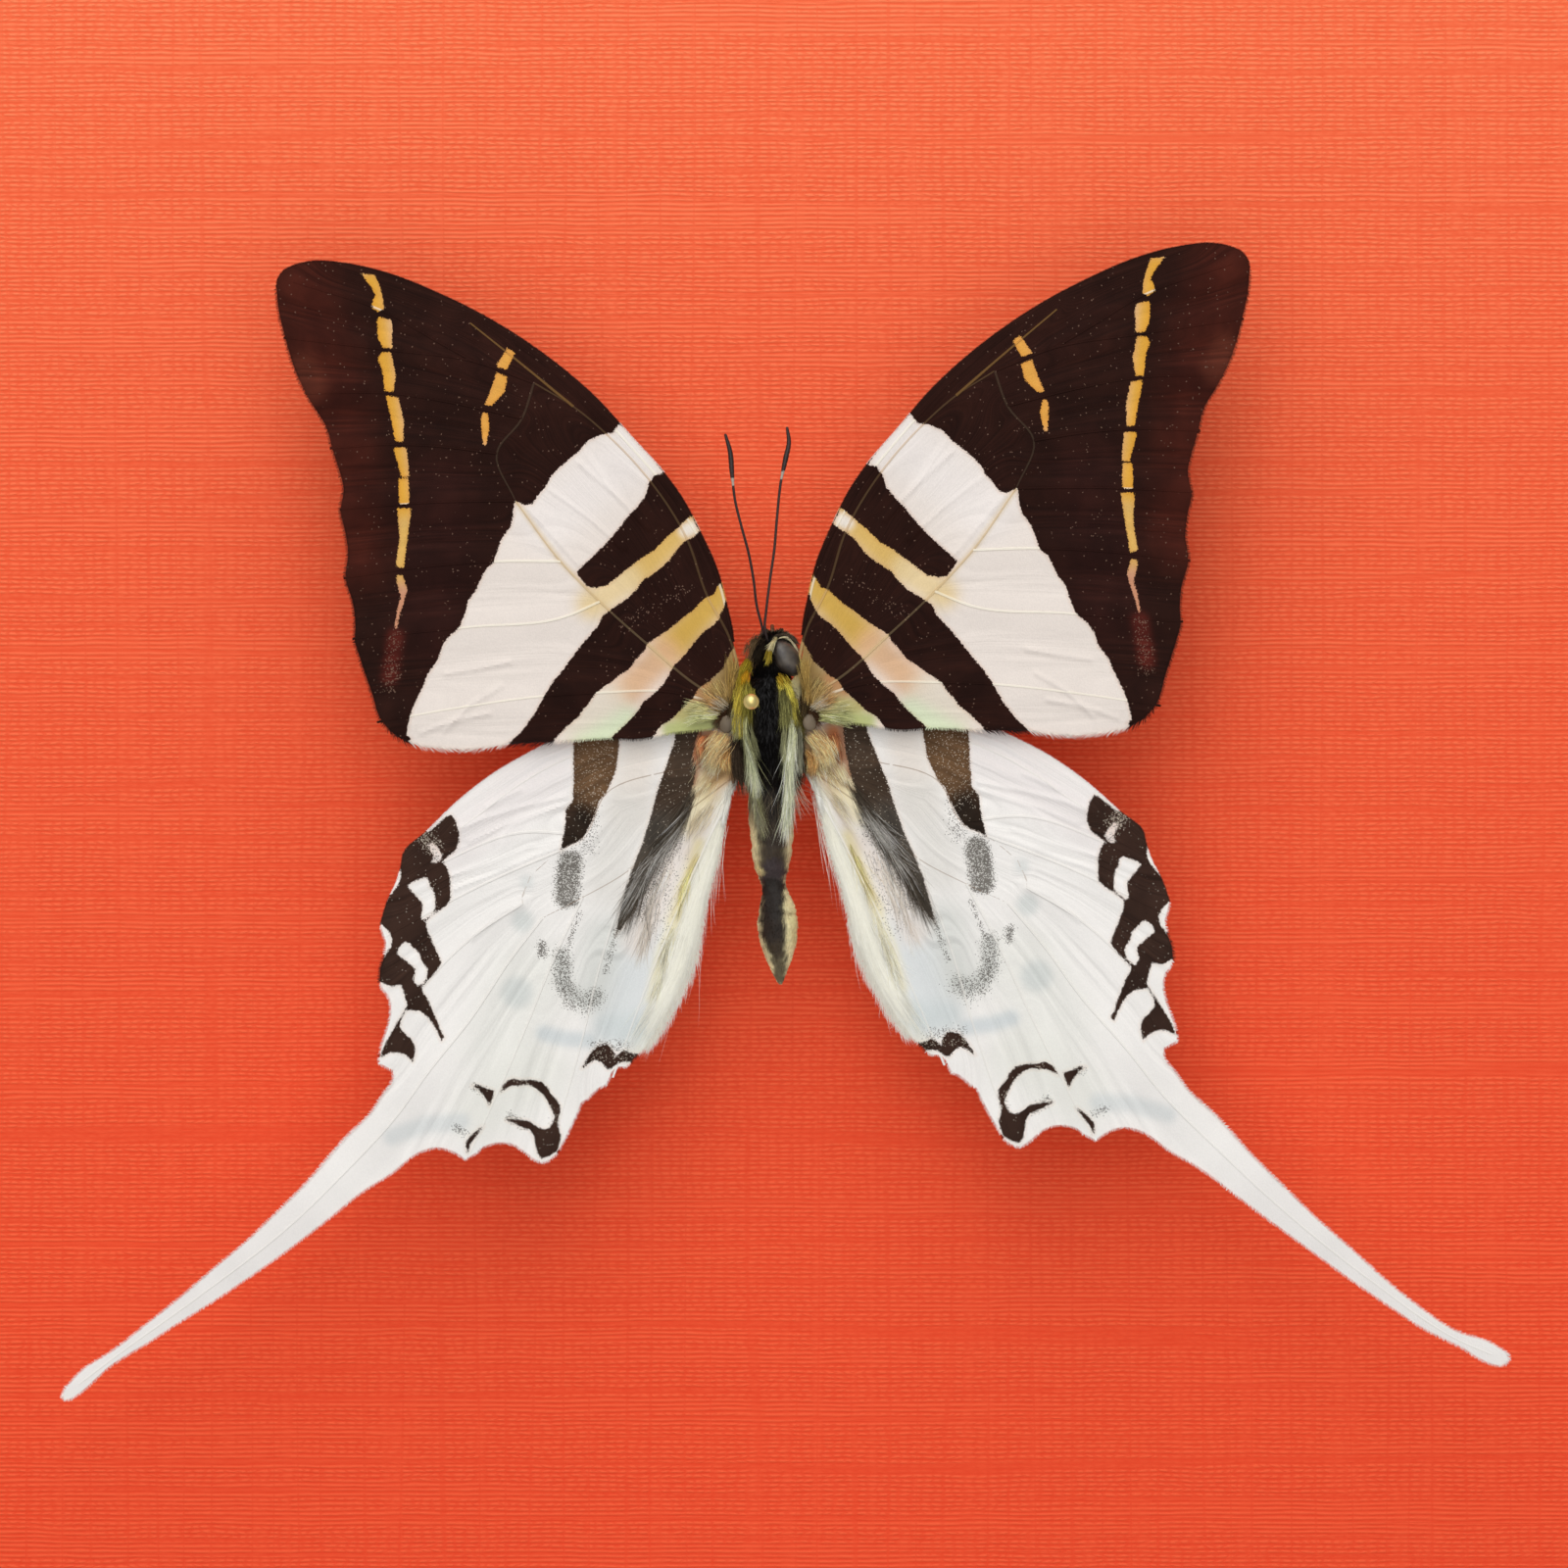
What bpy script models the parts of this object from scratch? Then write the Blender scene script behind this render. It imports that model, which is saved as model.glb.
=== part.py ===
# A spread swordtail butterfly on its pin, above a linen-covered mounting board.
# Lengths are in millimetres. Places on the insect are read in the photograph's frame of
# 1600 pixels and become millimetres through one driving size, the length of the forewing.
# The board's underside is at z = 0, and +Y points towards the insect's head.

import math
import random

import bmesh
import bpy
from mathutils import Matrix, Vector
from mathutils.geometry import delaunay_2d_cdt

MM = 0.001
FOREWING_LENGTH = 57.0
FOREWING_PIXELS = 617.0
PIXEL = FOREWING_LENGTH / FOREWING_PIXELS
PHOTO_MIDDLE = 800.0
BODY_LINE = 785.5
GAP = 0.3

# The mounting board and the pin
BOARD_SIDE = 160.0
BOARD_HEIGHT = 15.0
BOARD_EDGE = 0.8
PIN_PLACE = (767.0, 717.0)
PIN_RADIUS = 0.25
PIN_FOOT = 5.3
PIN_TOP = 40.5
PIN_HEAD_RADIUS = 0.75
PIN_HOLE_RADIUS = PIN_RADIUS + GAP
PIN_HOLE_FOOT = PIN_FOOT - GAP
PIN_SIDES = 12
OVERSHOOT = 2.0

# The body
THORAX_PLACE = (BODY_LINE, 740.0)
THORAX_LEVEL = 28.4
THORAX_HALF = (3.5, 5.6, 3.4)
HEAD_PLACE = (791.0, 667.0)
HEAD_LEVEL = 28.4
HEAD_HALF = (2.15, 2.2, 1.95)
EYE_REACH = (1.2, -0.2, 1.15)
EYE_HALF = (1.0, 1.75, 1.2)
EYE_ROLL = 45.0
ABDOMEN_STATIONS = [
    (786.5, 780.0, 27.7, 1.90),
    (787.0, 808.0, 27.6, 2.20),
    (787.5, 831.0, 27.5, 2.27),
    (788.5, 853.0, 27.4, 2.07),
    (788.5, 873.0, 27.3, 1.90),
    (788.5, 889.0, 27.2, 1.70),
    (790.5, 904.0, 27.2, 1.20),
    (794.0, 919.0, 27.2, 1.55),
    (794.5, 936.0, 27.2, 1.90),
    (795.0, 952.0, 27.2, 1.95),
    (795.5, 968.0, 27.3, 1.80),
    (796.0, 984.0, 27.4, 1.32),
    (797.0, 996.0, 27.5, 0.80),
    (798.0, 1005.0, 27.6, 0.30),
]

# The feelers, as photo x, photo y and level, from the head out to the tip of the club
ANTENNA_LEFT = [
    (781, 656, 28.2), (777.5, 640, 28.8), (771.5, 617, 29.4), (764, 565, 30.4), (750, 510, 31.0),
    (747, 480, 31.1), (744, 461, 31.2), (740, 443, 31.2),
]
ANTENNA_RIGHT = [
    (785, 656, 29.6), (780.5, 632, 30.3), (785, 594, 30.6), (790, 562, 30.8), (794, 515, 31.0),
    (799, 487, 31.1), (803, 464, 31.2), (803, 436, 31.2),
]
ANTENNA_RADIUS = 0.26
CLUB_RADIUS = 0.37
CLUB_LENGTH = 4.6
CLUB_FULLNESS = 0.7

# The palps and the coiled proboscis, below the head
PALP_PLACE = (788.0, 645.0)
PALP_LEVEL = 27.2
PALP_APART = 0.75
PALP_HALF = (0.42, 0.75, 1.0)
COIL_PLACE = (788.0, 655.0)
COIL_LEVEL = 24.2
COIL_TURNS = 2
COIL_STEPS = 26
COIL_OUTER = 1.75
COIL_INNER = 0.40
COIL_ROOT_HEIGHT = 3.4
PROBOSCIS_RADIUS = 0.26
PROBOSCIS_TIP = 0.20

# The legs, as distance from the body's middle line, photo y and level
LEG_FORE = [(1.3, 706, 26.6), (2.8, 692, 24.2), (2.9, 735, 22.8), (1.2, 770, 22.4)]
LEG_MID = [(1.6, 738, 26.2), (4.4, 728, 23.6), (3.6, 770, 22.0), (1.6, 806, 21.6)]
LEG_HIND = [(1.5, 765, 26.4), (4.2, 769, 24.6), (1.6, 808, 23.6), (0.8, 862, 22.9)]
LEG_RADII = (0.45, 0.36, 0.29, 0.24)
LEG_STEPS = (0.0, 0.34, 0.67)

# The sheet of the wings. The hindwing lies below the forewing by WING_STEP.
WING_LEVEL = 29.5
WING_STEP = 1.4
WING_RISE = 0.05
WING_SAG = 0.0004
TAIL_DROOP = 0.0002
MEMBRANE = 0.5
VEIN = 0.9
FLANK = 0.45
MARGIN_SPACING = 3.4
VEIN_SPACING = 3.2
VEIN_END = 0.8

FOREWING = {
    "drop": 0.0,
    "left_root": (745.0, 690.0),
    "right_root": (823.0, 683.0),
    "right_turn": 1.54,
    "front": [
        (768, 708), (757, 690), (752, 672), (750, 638), (741, 600), (730, 566), (712, 528), (680, 480),
        (632, 428), (560, 361), (500, 322), (400, 277), (322, 263.5), (290, 272), (279.5, 292),
    ],
    "rear": [
        (279.5, 292), (288, 343), (309, 402), (333, 443), (348, 496), (345, 523), (352, 560),
        (350, 590), (359, 640), (371, 688), (382, 724), (399, 750), (430, 763.5), (480, 767),
        (545, 760), (622, 756), (690, 750), (735, 744), (770, 730),
    ],
    "veins": {
        "subcosta": [(748, 655), (732, 590), (694, 518), (640, 452), (575, 388), (525, 350)],
        "radius": [
            (757, 700), (744, 650), (722, 609), (700, 548), (665, 493), (622, 446), (585, 415), (545, 391),
        ],
        "radius_1": [(585, 415), (540, 378), (480, 330)],
        "radius_4": [(483, 369), (440, 345), (400, 322), (300, 288)],
        "radius_5": [(545, 391), (483, 369), (400, 358), (290, 345)],
        "cell_end": [(545, 391), (533, 427), (507, 463), (526, 511)],
        "media_1": [(533, 427), (470, 413), (400, 402), (312, 402)],
        "media_2": [(507, 463), (450, 456), (400, 454), (337, 458)],
        "media_3": [(526, 511), (440, 513), (347, 520)],
        "cubitus": [(757, 722), (720, 705), (660, 657), (612, 614), (572, 573), (526, 511)],
        "cubitus_1": [(572, 573), (510, 573), (440, 578), (351, 590)],
        "cubitus_2": [(612, 614), (578, 629), (480, 640), (360, 652)],
        "anal": [(757, 728), (690, 707), (610, 707), (560, 710), (470, 722), (385, 737)],
    },
}

HINDWING = {
    "drop": WING_STEP,
    "left_root": (745.0, 790.0),
    "right_root": (830.1, 783.2),
    "right_turn": 2.6,
    "tail_root": 335.0,
    "tail_length": 348.0,
    "right_tail_sag": 1.7,
    "front": [
        (772, 762), (768, 738), (742, 722), (700, 713), (650, 716), (600, 733), (546, 761), (501, 787),
        (450, 829), (420, 858), (406, 883), (391, 921), (385, 942), (391, 962), (385, 990),
        (388, 1011), (396, 1031), (390, 1057), (384, 1080), (397, 1093), (392, 1110),
    ],
    "tail": [
        (392, 1110), (370, 1139), (310, 1206), (250, 1265), (179, 1325), (110, 1379), (71, 1408),
        (61, 1423), (66, 1431), (81, 1425), (110, 1399), (167, 1364), (236, 1319), (306, 1269),
        (370, 1219), (430, 1178),
    ],
    "rear": [
        (430, 1178), (450, 1173.5), (474, 1186), (490, 1176), (511, 1170.5), (532, 1177), (552, 1189),
        (570, 1178), (586, 1148), (601, 1123), (620, 1109), (630, 1092), (650, 1081), (668, 1060),
        (693, 1015), (714, 961), (729, 893), (742, 835), (751, 800), (772, 790),
    ],
    "veins": {
        "costa": [(750, 748), (690, 740), (620, 757), (555, 785), (470, 845)],
        "cell_front": [(752, 780), (677, 788), (619, 809), (594, 855), (571, 868), (541, 894)],
        "cell_end": [(541, 894), (533, 922), (553, 937)],
        "cell_rear": [(752, 790), (689, 839), (643, 887), (594, 916), (553, 937)],
        "radius": [(594, 852), (530, 850), (452, 880), (408, 904)],
        "media_1": [(571, 868), (500, 899), (440, 930), (393, 956)],
        "media_2": [(533, 922), (490, 950), (440, 997), (410, 1037), (391, 1076)],
        "media_3": [(553, 937), (520, 980), (480, 1040), (440, 1090), (412, 1132)],
        "cubitus_1": [(594, 916), (560, 990), (540, 1040), (510, 1110), (479, 1178)],
        "cubitus_2": [(643, 887), (612, 985), (594, 1060), (560, 1180)],
        "anal": [(752, 796), (712, 880), (668, 985), (625, 1100)],
    },
    "tail_vein": [(402, 1142), (350, 1198), (300, 1247), (200, 1325), (110, 1390), (80, 1413)],
}

# A lock keeps these shares of its width and thickness up to its last third, and this tip
LOCK_WIDTHS = (1.0, 1.0, 0.68)
LOCK_THICKNESSES = (1.0, 1.0, 0.8)
LOCK_TIP = 0.14

# The white hair along the hindwing's inner margin
FOLD_LOCKS = 14
FOLD_FIRST = (668.0, 1060.0)
FOLD_LAST = (742.0, 835.0)
FOLD_ROOT_DEPTH = 1.2
FOLD_LOCK_LENGTH = 3.1
FOLD_LOCK_WIDTH = 0.85
FOLD_LOCK_THICKNESS = 0.4
FOLD_LOCK_SPLAY = 34.0
FOLD_SPLAY_SPREAD = 6.0
FOLD_STEPS = (0.0, 0.35, 0.7, 1.0)

# The hair of the thorax, and the long streams of hair over the abdomen's base
HAIR_ROWS = (40.0, 63.0)
HAIR_STATIONS = (-0.62, -0.3, 0.02, 0.34)
HAIR_LENGTH = 3.4
HAIR_WIDTH = 1.0
HAIR_THICKNESS = 0.55
HAIR_ROOT_DEPTH = 0.7
HAIR_ROOT_SHIFT = 0.4
HAIR_SPLAY = 0.12
HAIR_ROW_SPREAD = 3.0
HAIR_STEPS = [(0.3, 0.1), (0.7, 0.3), (1.0, 0.3)]
STREAM_LEFT = [(765, 728, 30.3), (758, 750, 30.9), (762, 772, 30.85), (771, 795, 30.7), (781, 850, 30.55)]
STREAM_RIGHT = [(804, 728, 30.3), (810, 750, 30.9), (806, 772, 30.85), (803, 795, 30.7), (800, 845, 30.55)]
STREAM_OFFSETS = (-0.55, 0.25)
STREAM_SPACING = 3.0
STREAM_WIDTH = 0.8
STREAM_THICKNESS = 0.5
STREAM_TAPER = 0.85

# Colour, roughness and metallic value of each finish
FINISHES = {
    "linen_board": ((0.80, 0.10, 0.03), 0.9, 0.0),
    "brass": ((0.72, 0.52, 0.24), 0.3, 1.0),
    "hair": ((0.52, 0.50, 0.30), 0.9, 0.0),
    "black_hair": ((0.03, 0.025, 0.02), 0.85, 0.0),
    "eye": ((0.22, 0.17, 0.16), 0.35, 0.0),
    "feeler": ((0.04, 0.025, 0.02), 0.5, 0.0),
    "leg": ((0.20, 0.14, 0.08), 0.6, 0.0),
    "abdomen": ((0.55, 0.45, 0.24), 0.8, 0.0),
    "forewing": ((0.04, 0.02, 0.015), 0.7, 0.0),
    "hindwing": ((0.84, 0.82, 0.78), 0.75, 0.0),
}


def clear_scene():
    for item in list(bpy.data.objects):
        bpy.data.objects.remove(item, do_unlink=True)


def new_collection(name):
    collection = bpy.data.collections.new(name)
    bpy.context.scene.collection.children.link(collection)
    return collection


clear_scene()
parts = new_collection("giant_swordtail")
cutters = new_collection("cutters")
rng = random.Random(11)


def place(px, py, level=0.0):
    # A place in the photograph, in millimetres from the board's middle
    return Vector(((px - PHOTO_MIDDLE) * PIXEL, (PHOTO_MIDDLE - py) * PIXEL, level))


def make_material(name, finish):
    colour, roughness, metallic = FINISHES[finish]
    material = bpy.data.materials.new(name)
    material.use_nodes = True
    shader = material.node_tree.nodes["Principled BSDF"]
    shader.inputs["Base Color"].default_value = (*colour, 1.0)
    shader.inputs["Roughness"].default_value = roughness
    shader.inputs["Metallic"].default_value = metallic
    material.diffuse_color = (*colour, 1.0)
    return material


def mesh_object(name, mesh_builder, collection=cutters):
    # The builder's bmesh is in millimetres, and the object's mesh in metres
    mesh_builder.normal_update()
    bmesh.ops.recalc_face_normals(mesh_builder, faces=mesh_builder.faces)
    bmesh.ops.scale(mesh_builder, vec=(MM, MM, MM), verts=mesh_builder.verts)
    mesh = bpy.data.meshes.new(name)
    mesh_builder.to_mesh(mesh)
    mesh_builder.free()
    item = bpy.data.objects.new(name, mesh)
    collection.objects.link(item)
    item.hide_render = collection == cutters
    item.display_type = "WIRE" if collection == cutters else "TEXTURED"
    return item


def finish_node(item, name, finish, smooth_angle=50.0):
    # The finished piece becomes a named node with its own material
    if item.name not in parts.objects:
        cutters.objects.unlink(item)
        parts.objects.link(item)
    item.name = name
    item.data.name = name
    item.hide_render = False
    item.display_type = "TEXTURED"
    item.data.materials.clear()
    item.data.materials.append(make_material(name, finish))
    item.data.shade_smooth()
    item.data.set_sharp_from_angle(angle=math.radians(smooth_angle))
    return item


def remove(item):
    bpy.data.objects.remove(item, do_unlink=True)


def bake(item):
    # Applies the modifiers of a mesh object
    bpy.context.view_layer.update()
    evaluated = item.evaluated_get(bpy.context.evaluated_depsgraph_get())
    mesh = bpy.data.meshes.new_from_object(evaluated)
    item.modifiers.clear()
    item.data = mesh
    return item


def keep_largest(item):
    # Keeps the closed surface with the largest area
    builder = bmesh.new()
    builder.from_mesh(item.data)
    unseen = set(builder.faces)
    shells = []
    while unseen:
        start = unseen.pop()
        shell = [start]
        for face in shell:
            for edge in face.edges:
                for other in edge.link_faces:
                    if other in unseen:
                        unseen.remove(other)
                        shell.append(other)
        shells.append(shell)
    shells.sort(key=lambda shell: -sum(face.calc_area() for face in shell))
    scraps = [face for shell in shells[1:] for face in shell]
    bmesh.ops.delete(builder, geom=scraps, context="FACES")
    builder.to_mesh(item.data)
    builder.free()
    return item


def join(item, pieces):
    # One union of the item with all of the pieces
    helper = bpy.data.collections.new("pieces")
    for piece in pieces:
        helper.objects.link(piece)
    modifier = item.modifiers.new("join", "BOOLEAN")
    modifier.operation = "UNION"
    modifier.operand_type = "COLLECTION"
    modifier.collection = helper
    bake(item)
    for piece in pieces:
        remove(piece)
    bpy.data.collections.remove(helper)
    return keep_largest(item)


def cut(item, *tools):
    for tool in tools:
        modifier = item.modifiers.new("cut", "BOOLEAN")
        modifier.operation = "DIFFERENCE"
        modifier.object = tool
        bake(item)
    return keep_largest(item)


def smooth_path(points, spacing):
    # Samples a smooth curve through the points, with every point among the samples
    points = [Vector(point) for point in points]
    slopes = []
    for i, here in enumerate(points):
        before = points[max(i - 1, 0)]
        after = points[min(i + 1, len(points) - 1)]
        back = (here - before).length
        ahead = (after - here).length
        if back == 0 or ahead == 0:
            slopes.append((after - before) / (back + ahead))
        else:
            slopes.append(((here - before) * ahead / back + (after - here) * back / ahead) / (back + ahead))
    path = []
    for i in range(len(points) - 1):
        start, end = points[i], points[i + 1]
        length = (end - start).length
        steps = max(1, round(length / spacing))
        for step in range(steps):
            t = step / steps
            path.append(
                start * (2 * t**3 - 3 * t**2 + 1)
                + end * (3 * t**2 - 2 * t**3)
                + slopes[i] * length * (t**3 - 2 * t**2 + t)
                + slopes[i + 1] * length * (t**3 - t**2)
            )
    path.append(points[-1])
    return path


def tube(name, path, radii, resolution=2):
    # A tapering tube with closed ends, as a mesh
    curve = bpy.data.curves.new(name, "CURVE")
    curve.dimensions = "3D"
    curve.bevel_depth = MM
    curve.bevel_resolution = resolution
    curve.use_fill_caps = True
    spline = curve.splines.new("POLY")
    spline.points.add(len(path) - 1)
    for point, position, radius in zip(spline.points, path, radii):
        point.co = (*(position * MM), 1.0)
        point.radius = radius
    source = bpy.data.objects.new(name + "_curve", curve)
    cutters.objects.link(source)
    bpy.context.view_layer.update()
    evaluated = source.evaluated_get(bpy.context.evaluated_depsgraph_get())
    mesh = bpy.data.meshes.new_from_object(evaluated)
    remove(source)
    builder = bmesh.new()
    builder.from_mesh(mesh)
    bpy.data.meshes.remove(mesh)
    bmesh.ops.remove_doubles(builder, verts=builder.verts, dist=0.01 * MM)
    bmesh.ops.scale(builder, vec=(1 / MM, 1 / MM, 1 / MM), verts=builder.verts)
    return mesh_object(name, builder)


def egg(name, middle, half, around=20, along=12, turn=None, grow=0.0):
    # An ellipsoid whose poles point to the head and the tail
    builder = bmesh.new()
    bmesh.ops.create_uvsphere(builder, u_segments=around, v_segments=along, radius=1.0)
    size = Matrix.Diagonal([length + grow for length in half]).to_4x4()
    pose = turn.to_4x4() if turn else Matrix.Identity(4)
    upright = Matrix.Rotation(math.radians(90), 4, "X")
    builder.transform(Matrix.Translation(middle) @ pose @ size @ upright)
    return mesh_object(name, builder)


def rod(name, px, py, radius, low, high):
    # An upright cylinder at a place in the photograph
    builder = bmesh.new()
    spot = place(px, py, (low + high) / 2)
    bmesh.ops.create_cone(
        builder, cap_ends=True, segments=PIN_SIDES, radius1=radius, radius2=radius,
        depth=high - low, matrix=Matrix.Translation(spot),
    )
    return mesh_object(name, builder)


def lock(name, path, widths, thicknesses, up):
    # A flat tapered lock of hair: six-sided sections lofted along a path
    builder = bmesh.new()
    rings = []
    for i, centre in enumerate(path):
        along = (path[min(i + 1, len(path) - 1)] - path[max(i - 1, 0)]).normalized()
        side = along.cross(up).normalized()
        top = side.cross(along).normalized()
        wide, thick = widths[i] / 2, thicknesses[i] / 2
        section = [(-1, 0), (-0.5, 1), (0.5, 1), (1, 0), (0.5, -1), (-0.5, -1)]
        rings.append([builder.verts.new(centre + side * wide * u + top * thick * v) for u, v in section])
    for ring, following in zip(rings, rings[1:]):
        for k in range(len(ring)):
            n = (k + 1) % len(ring)
            builder.faces.new((ring[k], ring[n], following[n], following[k]))
    builder.faces.new(rings[0][::-1])
    builder.faces.new(rings[-1])
    return mesh_object(name, builder)


def tapered(width, thickness):
    widths = [width * share for share in LOCK_WIDTHS] + [LOCK_TIP]
    thicknesses = [thickness * share for share in LOCK_THICKNESSES] + [LOCK_TIP]
    return widths, thicknesses


def make_board():
    builder = bmesh.new()
    middle = Matrix.Translation((0, 0, BOARD_HEIGHT / 2))
    size = Matrix.Diagonal((BOARD_SIDE, BOARD_SIDE, BOARD_HEIGHT, 1.0))
    bmesh.ops.create_cube(builder, size=1.0, matrix=middle @ size)
    bmesh.ops.bevel(builder, geom=builder.edges[:], offset=BOARD_EDGE, segments=2, affect="EDGES")
    board = mesh_object("board", builder)
    hole = rod("board_hole", *PIN_PLACE, PIN_HOLE_RADIUS, PIN_HOLE_FOOT, BOARD_HEIGHT + OVERSHOOT)
    cut(board, hole)
    finish_node(board, "mount_board", "linen_board", 30.0)


def make_pin():
    shaft = rod("shaft", *PIN_PLACE, PIN_RADIUS, PIN_FOOT, PIN_TOP)
    knob = egg("knob", place(*PIN_PLACE, PIN_TOP), [PIN_HEAD_RADIUS] * 3, around=12, along=8)
    finish_node(join(shaft, [knob]), "pin", "brass")


def thorax_shape(grow=0.0):
    return egg("thorax_shape", place(*THORAX_PLACE, THORAX_LEVEL), THORAX_HALF, 22, 14, grow=grow)


def head_shape(grow=0.0):
    return egg("head_shape", place(*HEAD_PLACE, HEAD_LEVEL), HEAD_HALF, 18, 12, grow=grow)


def abdomen_shape(grow=0.0):
    path = smooth_path([place(x, y, z) for x, y, z, radius in ABDOMEN_STATIONS], 1.8)
    stations = [place(x, y) for x, y, z, radius in ABDOMEN_STATIONS]
    radii = []
    for point in path:
        spans = zip(stations, stations[1:], ABDOMEN_STATIONS, ABDOMEN_STATIONS[1:])
        for start, end, here, following in spans:
            if end.y <= point.y <= start.y:
                share = (start.y - point.y) / (start.y - end.y)
                radii.append(here[3] * (1 - share) + following[3] * share + grow)
                break
    return tube("abdomen_shape", path, radii, 4)


def thorax_hair():
    # Two rows of locks on each side, lying back over the wing bases
    middle = place(*THORAX_PLACE, THORAX_LEVEL)
    half = Vector(THORAX_HALF)
    locks = []
    for side in (-1, 1):
        for row in HAIR_ROWS:
            for station in HAIR_STATIONS:
                angle = math.radians(row + rng.uniform(-HAIR_ROW_SPREAD, HAIR_ROW_SPREAD))
                around = Vector((side * math.cos(angle), 0, math.sin(angle)))
                ring = math.sqrt(1 - station**2)
                skin = Vector((around.x * ring, -station, around.z * ring))
                root = middle + skin * half
                outward = Vector((skin.x / half.x, skin.y / half.y, skin.z / half.z)).normalized()
                lie = Vector((side * HAIR_SPLAY, -1, 0))
                back = (lie - outward * outward.dot(Vector((0, -1, 0)))).normalized()
                length = HAIR_LENGTH * rng.uniform(0.85, 1.1)
                path = [root - outward * HAIR_ROOT_DEPTH - back * HAIR_ROOT_SHIFT]
                path += [root + outward * lift + back * length * share for share, lift in HAIR_STEPS]
                locks.append(lock("hair", path, *tapered(HAIR_WIDTH, HAIR_THICKNESS), outward))
    return locks


def hair_streams():
    # Long locks that run back from the shoulders over the base of the abdomen
    locks = []
    for route in (STREAM_LEFT, STREAM_RIGHT):
        for offset in STREAM_OFFSETS:
            path = [place(x, y, z) + Vector((offset, 0, 0)) for x, y, z in route]
            path = smooth_path(path, STREAM_SPACING)
            last = len(path) - 1
            taper = [1.0 - STREAM_TAPER * (i / last) ** 2 for i in range(len(path))]
            widths = [STREAM_WIDTH * share for share in taper]
            thicknesses = [STREAM_THICKNESS * share for share in taper]
            locks.append(lock("stream", path, widths, thicknesses, Vector((0, 0, 1))))
    return locks


def make_thorax():
    thorax = join(thorax_shape(), thorax_hair() + hair_streams())
    reach = THORAX_HALF[2] + OVERSHOOT
    hole = rod("thorax_hole", *PIN_PLACE, PIN_HOLE_RADIUS, THORAX_LEVEL - reach, THORAX_LEVEL + reach)
    cut(thorax, hole)
    finish_node(thorax, "thorax", "hair")


def eye_shape(side, grow=0.0):
    # The head is rolled, so the right eye faces up and the left one down
    reach = Vector((EYE_REACH[0] * side, EYE_REACH[1], EYE_REACH[2] * side))
    turn = Matrix.Rotation(math.radians(-EYE_ROLL), 3, "Y")
    return egg("eye_shape", place(*HEAD_PLACE, HEAD_LEVEL) + reach, EYE_HALF, 14, 9, turn, grow)


def make_head():
    head = head_shape()
    cut(head, eye_shape(1, GAP), eye_shape(-1, GAP), thorax_guard)
    finish_node(head, "head", "black_hair")
    finish_node(cut(eye_shape(1), thorax_guard), "eye_right", "eye")
    finish_node(cut(eye_shape(-1), thorax_guard), "eye_left", "eye")


def make_antenna(name, route):
    path = smooth_path([place(x, y, z) for x, y, z in route], 2.4)
    distances = [(point - path[-1]).length for point in path]
    radii = []
    for distance in distances:
        share = min(max(1 - distance / CLUB_LENGTH, 0.0), 1.0)
        swelling = math.sin(math.pi * share**CLUB_FULLNESS)
        radii.append(ANTENNA_RADIUS + (CLUB_RADIUS - ANTENNA_RADIUS) * max(swelling, 0.0))
    feeler = tube(name, path, radii)
    finish_node(cut(feeler, head_guard, *eye_guards), name, "feeler")


def make_palp(name, side):
    middle = place(*PALP_PLACE, PALP_LEVEL) + Vector((side * PALP_APART, 0, 0))
    palp = egg(name, middle, PALP_HALF, 10, 7)
    finish_node(cut(palp, head_guard, *eye_guards), name, "hair")


def make_proboscis():
    # An upright spiral below the head, hung from its outer end
    hub = place(*COIL_PLACE, COIL_LEVEL)
    path = [hub + Vector((0, 0, COIL_ROOT_HEIGHT))]
    for i in range(COIL_STEPS + 1):
        share = i / COIL_STEPS
        angle = math.radians(90 + 360 * COIL_TURNS * share)
        radius = COIL_OUTER + (COIL_INNER - COIL_OUTER) * share
        path.append(hub + Vector((0, -radius * math.cos(angle), radius * math.sin(angle))))
    radii = [PROBOSCIS_RADIUS] * (len(path) - 1) + [PROBOSCIS_TIP]
    coil = tube("coil", path, radii, 1)
    finish_node(cut(coil, head_guard), "proboscis", "leg")


def make_leg(name, side, route):
    middle = place(BODY_LINE, 0).x
    joints = [Vector((middle + side * reach, place(0, y).y, z)) for reach, y, z in route]
    path = []
    radii = []
    for i in range(len(joints) - 1):
        for share in LEG_STEPS:
            path.append(joints[i].lerp(joints[i + 1], share))
            radii.append(LEG_RADII[i] * (1 - share) + LEG_RADII[i + 1] * share)
    path.append(joints[-1])
    radii.append(LEG_RADII[-1])
    leg = tube(name, path, radii, 1)
    finish_node(cut(leg, thorax_guard), name, "leg")


def make_abdomen():
    finish_node(cut(abdomen_shape(), thorax_guard), "abdomen", "abdomen")


def wing_level(x, y, drop):
    # The height of a wing's middle surface: a slight upward set that flattens outwards
    reach = abs(x - place(BODY_LINE, 0).x)
    return WING_LEVEL - drop + WING_RISE * reach - WING_SAG * reach**2 - TAIL_DROOP * min(y, 0.0) ** 2


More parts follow.
